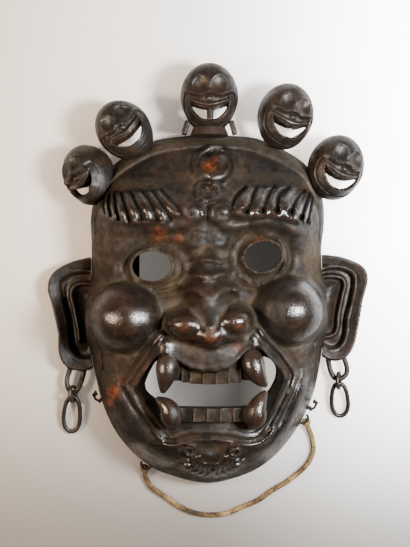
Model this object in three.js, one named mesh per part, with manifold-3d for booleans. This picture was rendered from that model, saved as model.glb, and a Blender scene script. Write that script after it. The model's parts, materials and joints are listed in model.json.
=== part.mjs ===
// A carved wooden cham dance mask: a hollow wrathful face with round cheeks and an open fanged
// mouth, five small grinning skulls along its crown, two ears with a wooden ring and a long link
// below each, bent wire staples along the jaw and a short tie cord from jaw to jaw.
// It lies on its back rim: millimetres, +X to the viewer's right, +Y to the crown, +Z out of the
// face. The shapes are drawn about the middle of the face, and the whole group is moved at the end
// so that the origin is under the middle of the piece.
import * as THREE from "three";
import { mergeVertices } from "three/addons/utils/BufferGeometryUtils.js";
import Module from "manifold-3d";

const wasm = await Module();
wasm.setup();

// ---------- driving dimensions ----------
const FIT_GAP = 0.3;
const MASK_CENTRE_Y = -32;
const DOME_HEIGHT = 72;
const DOME_POWER = 3;
const WALL = 9;
const RIM_SCALE = 0.915;
const ANGLE_STEPS = 56;
const RADIUS_STEPS = 25;

const BROW = { y: 50, rise: 13, spread: 14, reach: 86 };
const EYES = [
  { x: -47, y: 3.5, rx: 16, ry: 12.6 },
  { x: 46.5, y: 11, rx: 16.3, ry: 13.4 },
];
const CHEEKS = [
  { x: -66, y: -40, rx: 33, ry: 30 },
  { x: 66.5, y: -34.5, rx: 32, ry: 29.5 },
];
const CHEEK_TOP = 90;
const CHEEK_FOOT = 56;
const NOSE = { rootY: 14, tipY: -50, tipX: 3, tipZ: 110, rootZ: 74 };
const NOSTRILS = [
  { x: -18.5, y: -42 },
  { x: 23.5, y: -39 },
];
const NOSTRIL_RADIUS = 14;
const MOUTH_FLOOR = 60;
const BOSS = { x: 6.6, y: 90, radius: 16.5, rise: 6 };
const KNOB = { x: 0.7, y: 65, radius: 10, rise: 4 };

const SKULL_WIDTH = 49;
const SKULL_HEIGHT = 59;
// A skull's thickness from its middle: half widths as shares of the outline, and heights.
const SKULL_SECTION = [
  [0, -20],
  [0.62, -19.4],
  [0.88, -16.5],
  [0.99, -10],
  [1, -1],
  [0.96, 6],
  [0.86, 11.6],
  [0.68, 15.8],
  [0.4, 19],
  [0, 20.2],
];
// Each skull is turned in its own plane by roll, then leans to the crown, then faces sideways.
const SKULLS = [
  { name: "skull_centre", x: 2, y: 149.5, z: 33, roll: 0, lean: -3, face: 0, size: 1.02 },
  { name: "skull_left_inner", x: -72, y: 121.5, z: 33, roll: 41, lean: -11, face: -9, size: 0.95 },
  { name: "skull_left_outer", x: -104, y: 83, z: 27, roll: 30, lean: 3, face: -43, size: 0.93 },
  { name: "skull_right_inner", x: 68.5, y: 133.5, z: 32, roll: -14, lean: -3, face: 19, size: 0.98 },
  { name: "skull_right_outer", x: 112.5, y: 89.5, z: 29, roll: -20, lean: -3, face: 21, size: 0.98 },
];

const EAR_BACK = 4;
const EAR_THICKNESS = 14;
const YOKE_RADIUS = 2;
const RING_RADIUS = 6.7;
const RING_WIRE = 1.5;
const LINK_WIRE = 1.9;
const CHAIN_Z = 8.5;
const LINK_DROP = 2.4;

const STAPLE_WIRE = 1.1;
const STAPLE_BEND = 4.6;
const STAPLE_SINK = 1.5;
const KNOT_RADIUS = 4.4;
const CORD_DIAMETER = 4.8;
const CORD_SIDES = 8;
const CORD_STEPS = 30;

const wood = new THREE.MeshStandardMaterial({ color: 0x33261f, roughness: 0.38, metalness: 0 });
const iron = new THREE.MeshStandardMaterial({ color: 0x2a2522, roughness: 0.6, metalness: 0.9 });
const cotton = new THREE.MeshStandardMaterial({ color: 0xc4ab7c, roughness: 0.9, metalness: 0 });

// ---------- solids in and out of manifold-3d ----------
function solidFrom(geometry) {
  const bare = geometry.index ? geometry.toNonIndexed() : geometry.clone();
  bare.deleteAttribute("normal");
  bare.deleteAttribute("uv");
  const merged = mergeVertices(bare, 1e-4);
  return new wasm.Manifold(
    new wasm.Mesh({
      numProp: 3,
      vertProperties: merged.attributes.position.array,
      triVerts: new Uint32Array(merged.index.array),
    }),
  );
}

function meshFrom(name, solid, material) {
  const source = solid.getMesh();
  const points = new Float32Array(source.numVert * 3);
  for (let i = 0; i < source.numVert; i++) {
    points.set(source.vertProperties.subarray(i * source.numProp, i * source.numProp + 3), i * 3);
  }
  const geometry = new THREE.BufferGeometry();
  geometry.setAttribute("position", new THREE.BufferAttribute(points, 3));
  geometry.setIndex(new THREE.BufferAttribute(new Uint32Array(source.triVerts), 1));
  geometry.computeVertexNormals();
  const mesh = new THREE.Mesh(geometry, material);
  mesh.name = name;
  return mesh;
}

function geometryFrom(points, triangles) {
  const geometry = new THREE.BufferGeometry();
  geometry.setAttribute("position", new THREE.Float32BufferAttribute(points, 3));
  geometry.setIndex(triangles);
  return geometry;
}

// ---------- small shaping functions ----------
const clamp01 = (value) => Math.min(1, Math.max(0, value));

function rise(from, to, value) {
  const t = clamp01((value - from) / (to - from));
  return t * t * (3 - 2 * t);
}

function bell(value, spread) {
  return Math.exp(-(value * value) / (spread * spread));
}

function smoothMax(a, b, blend) {
  const h = clamp01(0.5 + (0.5 * (a - b)) / blend);
  return b + (a - b) * h + blend * h * (1 - h);
}

// ---------- the mask's outline ----------
// Points from the crown down the right side to the chin, and up the left side, which is a little
// fuller at the jaw and lower at the shoulder.
const OUTLINE = [
  [0, 121],
  [38, 119],
  [56, 113.5],
  [73.5, 105],
  [89.5, 93],
  [97.5, 79],
  [103.5, 62],
  [104.5, 42],
  [102, 18],
  [102.5, -12],
  [103.5, -44],
  [102, -74],
  [98, -98],
  [92.5, -117],
  [84, -134.5],
  [72.5, -152],
  [55.5, -169.5],
  [34, -182],
  [0, -189.5],
  [-36, -181.5],
  [-58, -169.5],
  [-75.5, -152],
  [-86.5, -134.5],
  [-94, -116],
  [-98.5, -98],
  [-103, -74],
  [-104.5, -44],
  [-103, -10],
  [-103, 24],
  [-103.5, 50],
  [-97, 74],
  [-88, 89],
  [-77.5, 99],
  [-60, 110],
  [-43.5, 116.5],
  [-20.5, 120],
];

const outlineCurve = new THREE.CatmullRomCurve3(
  OUTLINE.map(([x, y]) => new THREE.Vector3(x, y, 0)),
  true,
  "centripetal",
);

// The outline's distance from the mask's centre, looked up by direction.
const outlineSamples = outlineCurve.getPoints(720).map((p) => ({
  angle: Math.atan2(p.y - MASK_CENTRE_Y, p.x),
  radius: Math.hypot(p.x, p.y - MASK_CENTRE_Y),
}));
outlineSamples.sort((a, b) => a.angle - b.angle);

function outlineRadius(angle) {
  const turn = 2 * Math.PI;
  const wanted = angle > Math.PI ? angle - turn : angle;
  const next = outlineSamples.findIndex((sample) => sample.angle >= wanted);
  const b = next < 0 ? outlineSamples[0] : outlineSamples[next];
  const a = outlineSamples[(next < 0 ? 0 : next) - 1] ?? outlineSamples.at(-1);
  const span = (b.angle - a.angle + turn) % turn;
  const part = span > 1e-9 ? ((wanted - a.angle + turn) % turn) / span : 0;
  return a.radius + (b.radius - a.radius) * part;
}

// ---------- the face as a height over its back plane ----------
function domeHeight(share) {
  return DOME_HEIGHT * Math.sqrt(Math.max(0, 1 - share ** DOME_POWER));
}

function roundedBall(x, y, ball, foot, top) {
  const away = Math.hypot((x - ball.x) / ball.rx, (y - ball.y) / ball.ry);
  const outside = Math.max(0, away - 1) * Math.min(ball.rx, ball.ry);
  return foot + (top - foot) * Math.sqrt(Math.max(0, 1 - away * away)) - outside * 2.5;
}

function noseHeight(x, y) {
  const along = clamp01((NOSE.rootY - y) / (NOSE.rootY - NOSE.tipY));
  const middle = NOSE.tipX * along;
  const half = 13 + 11 * along;
  const crest = NOSE.rootZ + (NOSE.tipZ - NOSE.rootZ) * along ** 1.3;
  const below = Math.max(0, NOSE.tipY - y);
  const above = Math.max(0, y - NOSE.rootY);
  const across = (x - middle) / half;
  return crest - 18 * across * across - below * below * 0.28 - above * 1.2;
}

function faceHeight(x, y, share) {
  let z = domeHeight(share);
  const inner = rise(0.99, 0.8, share);
  const forehead = rise(60, 85, y) * bell(x, 75);
  z -= 5 * forehead * inner;
  const band = rise(0.885, 0.91, share) * rise(0.985, 0.95, share) * rise(28, 44, y);
  z += 5 * band;
  const browSide = rise(BROW.reach, BROW.reach - 22, Math.abs(x));
  z += BROW.rise * bell(y - BROW.y, BROW.spread) * browSide * rise(22, 38, y);
  for (const eye of EYES) {
    const away = Math.hypot((x - eye.x * 0.93) / 29, (y - eye.y) / 22);
    z -= 7 * rise(1.5, 0.95, away) * inner;
    z += 10 * rise(1, 0.35, away);
  }
  z += 12 * bell(Math.hypot(x * 0.45, (y + 68) * 0.75), 24) * inner;
  z += 12 * bell(Math.hypot(x * 0.5, (y + 152) * 0.9), 20) * rise(1, 0.85, share);
  for (const cheek of CHEEKS) {
    z = smoothMax(z, roundedBall(x, y, cheek, CHEEK_FOOT, CHEEK_TOP), 7);
  }
  z = smoothMax(z, noseHeight(x, y), 8);
  for (const side of NOSTRILS) {
    const ball = { x: side.x, y: side.y, rx: NOSTRIL_RADIUS, ry: NOSTRIL_RADIUS };
    z = smoothMax(z, roundedBall(x, y, ball, 86, 101), 5);
  }
  for (const ball of [BOSS, KNOB]) {
    const away = Math.hypot(x - ball.x, y - ball.y) / ball.radius;
    z += ball.rise * rise(1.1, 0.5, away);
  }
  return Math.max(0, z);
}

// A closed body whose top is a height function over a round-mapped outline and whose back is flat.
function reliefBody(angles, rings, scale, back, heightAt) {
  const points = [];
  const triangles = [];
  const place = (share, step) => {
    const angle = (step / angles) * 2 * Math.PI;
    const radius = outlineRadius(angle) * share;
    return [radius * Math.cos(angle), MASK_CENTRE_Y + radius * Math.sin(angle)];
  };
  points.push(0, MASK_CENTRE_Y, heightAt(0, MASK_CENTRE_Y, 0));
  for (let ring = 1; ring <= rings; ring++) {
    const share = Math.sin((ring / rings) * 0.5 * Math.PI) ** 0.9;
    for (let step = 0; step < angles; step++) {
      const [x, y] = place(share, step);
      const [px, py] = [x * scale, MASK_CENTRE_Y + (y - MASK_CENTRE_Y) * scale];
      points.push(px, py, ring === rings ? 2 : Math.max(2, heightAt(px, py, share)));
    }
  }
  const foot = points.length / 3;
  for (let step = 0; step < angles; step++) {
    const [x, y] = place(1, step);
    points.push(x * scale, MASK_CENTRE_Y + (y - MASK_CENTRE_Y) * scale, back);
  }
  const hub = points.length / 3;
  points.push(0, MASK_CENTRE_Y, back);
  const at = (ring, step) => 1 + (ring - 1) * angles + (step % angles);
  for (let step = 0; step < angles; step++) {
    triangles.push(0, at(1, step), at(1, step + 1));
    for (let ring = 1; ring < rings; ring++) {
      triangles.push(at(ring, step), at(ring + 1, step), at(ring + 1, step + 1));
      triangles.push(at(ring, step), at(ring + 1, step + 1), at(ring, step + 1));
    }
    const lower = foot + step;
    const lowerNext = foot + ((step + 1) % angles);
    triangles.push(at(rings, step), lower, lowerNext);
    triangles.push(at(rings, step), lowerNext, at(rings, step + 1));
    triangles.push(hub, lowerNext, lower);
  }
  return solidFrom(geometryFrom(points, triangles));
}

// The hollow behind the face follows the dome and reaches a little way up into the nose.
function hollowHeight(x, y, share) {
  const nose = 20 * bell(x / 1.1, 18) * bell(y - NOSE.tipY - 8, 26);
  return (DOME_HEIGHT - WALL) * Math.sqrt(Math.max(0, 1 - share ** DOME_POWER)) + nose - 3;
}

// A straight cutter through a smooth closed outline, between two heights.
function outlineCutter(outline, low, high, steps) {
  const curve = new THREE.CatmullRomCurve3(
    outline.map(([x, y]) => new THREE.Vector3(x, y, 0)),
    true,
    "centripetal",
  );
  const shape = new THREE.Shape(
    curve
      .getPoints(steps)
      .slice(0, -1)
      .map((p) => new THREE.Vector2(p.x, p.y)),
  );
  const geometry = new THREE.ExtrudeGeometry(shape, { depth: high - low, bevelEnabled: false });
  geometry.translate(0, 0, low);
  return solidFrom(geometry);
}

const LIP_EDGE = [
  [-57, -98],
  [-52, -82],
  [-43, -70],
  [-31, -72],
  [-14, -81],
  [4, -84],
  [22, -76],
  [38, -64.5],
  [50, -66],
  [60, -78],
  [64, -92],
  [62, -108],
  [55, -127],
  [44, -136],
  [20, -134],
  [-8, -133],
  [-28, -136],
  [-42, -128],
  [-53, -112],
];

const MOUTH_GAP = [
  [-51, -97],
  [-47, -81],
  [-39, -77],
  [-28, -92],
  [-8, -95.5],
  [8, -96],
  [24, -93],
  [36, -88],
  [45, -74],
  [53, -76],
  [59, -86],
  [57, -99],
  [44, -106],
  [26, -112],
  [2, -115],
  [-20, -113.5],
  [-38, -108],
];

// A tapering horn: rings of a shrinking radius along a curve, closed at its point.
function horn(points, rootRadius, rings, sides) {
  const curve = new THREE.CatmullRomCurve3(points.map((p) => new THREE.Vector3(...p)));
  const frames = curve.computeFrenetFrames(rings, false);
  const verts = [];
  const faces = [];
  for (let ring = 0; ring < rings; ring++) {
    const t = ring / rings;
    const centre = curve.getPoint(t);
    const radius = rootRadius * Math.sqrt(1 - t * t);
    for (let side = 0; side < sides; side++) {
      const angle = (side / sides) * 2 * Math.PI;
      const point = centre
        .clone()
        .addScaledVector(frames.normals[ring], radius * Math.cos(angle))
        .addScaledVector(frames.binormals[ring], radius * Math.sin(angle));
      verts.push(point.x, point.y, point.z);
    }
  }
  const root = verts.length / 3;
  verts.push(...curve.getPoint(0).toArray());
  verts.push(...curve.getPoint(1).toArray());
  for (let side = 0; side < sides; side++) {
    const next = (side + 1) % sides;
    faces.push(root, next, side);
    for (let ring = 0; ring < rings - 1; ring++) {
      const a = ring * sides;
      const b = a + sides;
      faces.push(a + side, a + next, b + next);
      faces.push(a + side, b + next, b + side);
    }
    const last = (rings - 1) * sides;
    faces.push(last + side, last + next, root + 1);
  }
  return solidFrom(geometryFrom(verts, faces));
}

function toothRow(xFrom, xTo, count, y, height, z) {
  const pitch = (xTo - xFrom) / count;
  const row = [];
  for (let i = 0; i < count; i++) {
    const tooth = new THREE.CylinderGeometry(pitch * 0.54, pitch * 0.54, height, 7);
    tooth.translate(xFrom + pitch * (i + 0.5), y, z);
    row.push(solidFrom(tooth));
  }
  return row;
}

const FANGS = [
  { path: [[-34, -68, 68], [-37, -82, 78], [-43, -92, 80], [-46, -101, 78]], radius: 10 },
  { path: [[42, -63, 68], [44, -76, 78], [49, -86, 80], [53, -96, 78]], radius: 10 },
  { path: [[-28, -133, 64], [-30, -122, 72], [-36, -110, 74], [-41, -101, 72]], radius: 9 },
  { path: [[38, -134, 64], [38, -122, 72], [43, -108, 74], [50, -96, 71]], radius: 9 },
];

function buildMask() {
  let solid = reliefBody(ANGLE_STEPS, RADIUS_STEPS, 1, 0, faceHeight);
  solid = solid.subtract(reliefBody(30, 9, RIM_SCALE, -5, hollowHeight));
  solid = solid.subtract(outlineCutter(LIP_EDGE, MOUTH_FLOOR, 160, 38));
  solid = solid.subtract(outlineCutter(MOUTH_GAP, -10, 160, 28));
  for (const eye of EYES) {
    const hole = new THREE.CylinderGeometry(1, 1, 200, 18);
    hole.rotateX(Math.PI / 2);
    hole.scale(eye.rx, eye.ry, 1);
    hole.translate(eye.x, eye.y, 60);
    solid = solid.subtract(solidFrom(hole));
  }
  const teeth = [
    ...toothRow(-25, 31, 5, -89, 16, 62),
    ...toothRow(-24, 32, 5, -121, 17, 61),
  ];
  for (const tooth of teeth) {
    solid = solid.add(tooth);
  }
  for (const fang of FANGS) {
    solid = solid.add(horn(fang.path, fang.radius, 6, 7));
  }
  return solid;
}

// ---------- skulls ----------
// The outline is round above and a little narrower at the chin.
function skullOutline(angle) {
  const jaw = rise(0, -1, Math.sin(angle));
  const fullness = 2 + 0.2 * jaw;
  const across = Math.abs(Math.cos(angle) / ((SKULL_WIDTH / 2) * (1 - 0.08 * jaw))) ** fullness;
  const along = Math.abs(Math.sin(angle) / (SKULL_HEIGHT / 2)) ** fullness;
  return 1 / (across + along) ** (1 / fullness);
}

function skullBody(around) {
  const profile = SKULL_SECTION.map(([share, z]) => new THREE.Vector2(share, z));
  const body = new THREE.LatheGeometry(profile, around);
  body.rotateX(Math.PI / 2);
  const position = body.attributes.position;
  for (let i = 0; i < position.count; i++) {
    const [x, y] = [position.getX(i), position.getY(i)];
    const radius = skullOutline(Math.atan2(y, x));
    position.setXY(i, x * radius, y * radius);
  }
  return solidFrom(body);
}

const GRIN = [
  [-15.5, -7.5],
  [0, -12.5],
  [15.5, -7.5],
  [12.5, -15],
  [7, -20],
  [-7, -20],
  [-12.5, -15],
];

// The hollow is open behind, and the grin is cut through into it. The centre skull stands on a
// short foot between two thin struts, and has a bar down the middle of its grin.
function buildSkull(skull, mask) {
  let solid = skullBody(16);
  const hollow = new THREE.SphereGeometry(1, 10, 6);
  hollow.scale(18, 21.5, 17);
  hollow.translate(0, -1, -10);
  solid = solid.subtract(solidFrom(hollow)).subtract(outlineCutter(GRIN, -40, 40, 10));
  if (skull.name === "skull_centre") {
    const bar = new THREE.BoxGeometry(6, 13, 6);
    bar.translate(0.6, -16, 11);
    const foot = new THREE.CylinderGeometry(11, 14, 9, 12);
    foot.scale(1.2, 1, 0.75);
    foot.translate(0, -30, 3);
    solid = solid.add(solidFrom(bar)).add(solidFrom(foot));
    for (const side of [-1, 1]) {
      const strut = new THREE.BoxGeometry(4.5, 12, 8);
      strut.rotateZ(side * 0.3);
      strut.translate(side * 20, -26, 0);
      solid = solid.add(solidFrom(strut));
    }
  }
  for (const side of [-1, 1]) {
    const socket = new THREE.SphereGeometry(6.8, 7, 5);
    socket.scale(1, 1.15, 0.6);
    socket.translate(7.6 * side, 7, 19.5);
    solid = solid.subtract(solidFrom(socket));
  }
  const degrees = Math.PI / 180;
  const turned = new THREE.Matrix4()
    .makeTranslation(skull.x, skull.y, skull.z)
    .multiply(new THREE.Matrix4().makeRotationY(skull.face * degrees))
    .multiply(new THREE.Matrix4().makeRotationX(skull.lean * degrees))
    .multiply(new THREE.Matrix4().makeRotationZ(skull.roll * degrees))
    .scale(new THREE.Vector3(skull.size, skull.size, skull.size));
  return solid.transform([...turned.elements]).subtract(mask);
}

// ---------- ears, rings and links ----------
const EARS = [
  {
    side: "left",
    outline: [
      [-94, 7],
      [-113, 9.5],
      [-134, 0],
      [-141, -14],
      [-137, -32],
      [-132, -55],
      [-131, -74],
      [-124, -86],
      [-110, -89],
      [-100, -86],
      [-92, -78],
      [-90, -40],
    ],
    yoke: [
      [-119.5, -82],
      [-124.5, -97],
      [-122, -107],
      [-116.5, -107.5],
      [-111.5, -98],
      [-108, -83],
    ],
    link: { tilt: -4, length: 36 },
    ringX: -119.3,
  },
  {
    side: "right",
    outline: [
      [94, 9],
      [113, 13],
      [136, 5],
      [142.5, -7],
      [138, -27],
      [134, -50],
      [130, -67],
      [122, -78],
      [110, -80],
      [100, -75],
      [90, -66],
      [88, -30],
    ],
    yoke: [
      [107, -74],
      [109, -87],
      [113.5, -95.5],
      [120.5, -95.5],
      [124.5, -88],
      [120, -73],
    ],
    link: { tilt: 5, length: 34 },
    ringX: 117,
  },
];

function tubeAlong(points, radius, sides, steps, closed) {
  const curve = new THREE.CatmullRomCurve3(
    points.map((p) => new THREE.Vector3(...p)),
    closed,
    "centripetal",
  );
  const section = new THREE.Shape();
  for (let side = 0; side < sides; side++) {
    const angle = (side / sides) * 2 * Math.PI;
    const [x, y] = [radius * Math.cos(angle), radius * Math.sin(angle)];
    if (side === 0) section.moveTo(x, y);
    else section.lineTo(x, y);
  }
  section.closePath();
  return new THREE.ExtrudeGeometry(section, { steps, extrudePath: curve });
}

function buildEar(ear, mask) {
  const plate = outlineCutter(ear.outline, EAR_BACK, EAR_BACK + EAR_THICKNESS, 36);
  const rootX = (ear.outline[0][0] + ear.outline.at(-1)[0]) / 2;
  const dishX = rootX + Math.sign(rootX) * 14;
  const dishY = -38;
  const dish = ear.outline.map(([x, y]) => [
    dishX + (x - dishX) * 0.74,
    dishY + (y - dishY) * 0.78,
  ]);
  const sunk = outlineCutter(dish, EAR_BACK + 7, EAR_BACK + 40, 24);
  const yokePath = ear.yoke.map(([x, y]) => [x, y, CHAIN_Z]);
  const yoke = solidFrom(tubeAlong(yokePath, YOKE_RADIUS, 7, 12, false));
  return plate.subtract(sunk).add(yoke).subtract(mask);
}

function buildChain(ear) {
  const barY = Math.min(...ear.yoke.map((p) => p[1]));
  const ringY = barY - LINK_DROP;
  const ring = new THREE.TorusGeometry(RING_RADIUS, RING_WIRE, 6, 16);
  ring.rotateY(Math.PI * 0.4);
  ring.translate(ear.ringX, ringY, CHAIN_Z);
  const link = new THREE.TorusGeometry(2, 1, 6, 22);
  const position = link.attributes.position;
  const half = ear.link.length / 2;
  for (let i = 0; i < position.count; i++) {
    const [x, y, z] = [position.getX(i), position.getY(i), position.getZ(i)];
    const angle = Math.atan2(y, x);
    const out = Math.hypot(x, y) - 2;
    const width = 7.2 - 1.6 * Math.sin(angle);
    const blunt = angle > 0 ? 0.72 : 1;
    const cx = width * Math.sign(Math.cos(angle)) * Math.abs(Math.cos(angle)) ** blunt;
    const cy = (half - LINK_WIRE) * Math.sign(angle) * Math.abs(Math.sin(angle)) ** blunt;
    const reach = Math.hypot(cx, cy);
    position.setXYZ(
      i,
      cx + (out * LINK_WIRE * cx) / reach,
      cy + (out * LINK_WIRE * cy) / reach,
      z * LINK_WIRE,
    );
  }
  link.rotateX(Math.asin((CHAIN_Z - LINK_WIRE) / (2 * half)));
  const tilt = (ear.link.tilt * Math.PI) / 180;
  const reach = half - LINK_WIRE;
  link.rotateZ(tilt);
  link.translate(
    ear.ringX + Math.sin(tilt) * reach,
    ringY - LINK_DROP - reach,
    (CHAIN_Z + LINK_WIRE) / 2,
  );
  return { ring: solidFrom(ring), link: solidFrom(link) };
}

// ---------- staples, knots and the cord ----------
// Each staple is a bent wire that stands out of the side wall; angle is its direction from the
// middle of the mask, in degrees.
const STAPLES = [
  { name: "staple_left_jaw", angle: 219.5, z: 14 },
  { name: "staple_left_chin", angle: 248.9, z: 9 },
  { name: "staple_right_chin", angle: 310.6, z: 9 },
  { name: "staple_right_jaw", angle: 316.8, z: 14 },
];

function staplePlace(staple) {
  const angle = (staple.angle * Math.PI) / 180;
  const radius = outlineRadius(angle) - STAPLE_SINK;
  return {
    angle,
    x: radius * Math.cos(angle),
    y: MASK_CENTRE_Y + radius * Math.sin(angle),
  };
}

function stapleBend(staple, wire) {
  const place = staplePlace(staple);
  const bend = new THREE.TorusGeometry(STAPLE_BEND, wire, 5, 14);
  bend.rotateZ(place.angle);
  bend.translate(place.x, place.y, staple.z);
  return solidFrom(bend);
}

const CORD_ROUTE = [
  [-55.3, -179, 5.5],
  [-55.2, -183, 3.6],
  [-53.2, -188.5, 2.5],
  [-49.5, -194, 2.5],
  [-41, -200, 2.5],
  [-32, -206, 2.5],
  [-24, -211.5, 2.5],
  [-14, -216, 2.5],
  [-2, -218.5, 2.5],
  [8, -218.5, 2.5],
  [19, -217, 2.5],
  [33, -211, 2.5],
  [46, -205.5, 2.5],
  [58, -197, 2.5],
  [70, -190, 2.5],
  [82, -181, 2.5],
  [91, -171.5, 2.5],
  [95, -161, 2.5],
  [94.2, -151, 2.5],
  [92, -144.5, 3.4],
  [89.6, -138.5, 5.4],
];

// A knot is a small rounded lump tied round the outer bend of its staple.
function buildKnot(staple, grow) {
  const place = staplePlace(staple);
  const knot = new THREE.SphereGeometry(KNOT_RADIUS + grow, 9, 6);
  const out = STAPLE_BEND + 1.4;
  knot.translate(
    place.x + out * Math.cos(place.angle),
    place.y + out * Math.sin(place.angle),
    staple.z - 3,
  );
  return solidFrom(knot);
}

// ---------- assembly ----------
const mask = buildMask();

// The mask grown by the fitting gap, for the pieces that stand against its outside.
function grownMask() {
  const grow = (x, y, share) => faceHeight(x, y, share) + 3 * FIT_GAP;
  return reliefBody(ANGLE_STEPS, RADIUS_STEPS, 1 + (2 * FIT_GAP) / 95, -1, grow);
}

const against = grownMask();
const group = new THREE.Group();
group.add(meshFrom("mask_face", mask, wood));
for (const skull of SKULLS) {
  group.add(meshFrom(skull.name, buildSkull(skull, against), wood));
}
for (const ear of EARS) {
  const chain = buildChain(ear);
  group.add(meshFrom("ear_" + ear.side, buildEar(ear, against), wood));
  group.add(meshFrom("ear_ring_" + ear.side, chain.ring, wood));
  group.add(meshFrom("ear_link_" + ear.side, chain.link, wood));
}

for (const staple of STAPLES) {
  const wire = stapleBend(staple, STAPLE_WIRE).subtract(against);
  group.add(meshFrom(staple.name, wire, iron));
}

const tiedTo = { cord_knot_left: STAPLES[1], cord_knot_right: STAPLES[2] };
let cord = solidFrom(tubeAlong(CORD_ROUTE, CORD_DIAMETER / 2, CORD_SIDES, CORD_STEPS, false));
for (const [name, staple] of Object.entries(tiedTo)) {
  const bore = stapleBend(staple, STAPLE_WIRE + FIT_GAP);
  const knot = buildKnot(staple, 0).subtract(bore).subtract(against);
  group.add(meshFrom(name, knot, cotton));
  cord = cord.subtract(buildKnot(staple, 1.5 * FIT_GAP)).subtract(bore);
}
group.add(meshFrom("hanging_cord", cord, cotton));

// The origin is under the middle of everything but the cord and its knots.
const extent = new THREE.Box3();
for (const mesh of group.children) {
  if (!mesh.name.includes("cord")) {
    extent.expandByObject(mesh);
  }
}
const middle = extent.getCenter(new THREE.Vector3());
group.position.set(-middle.x, -middle.y, -extent.min.z);
const part = new THREE.Group();
part.add(group);

export default part;
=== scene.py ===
"""A carved wooden cham mask lying on its back rim: the face, five small skulls, two looped
ears with their rings and links, wire staples and a laid tie cord."""

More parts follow.
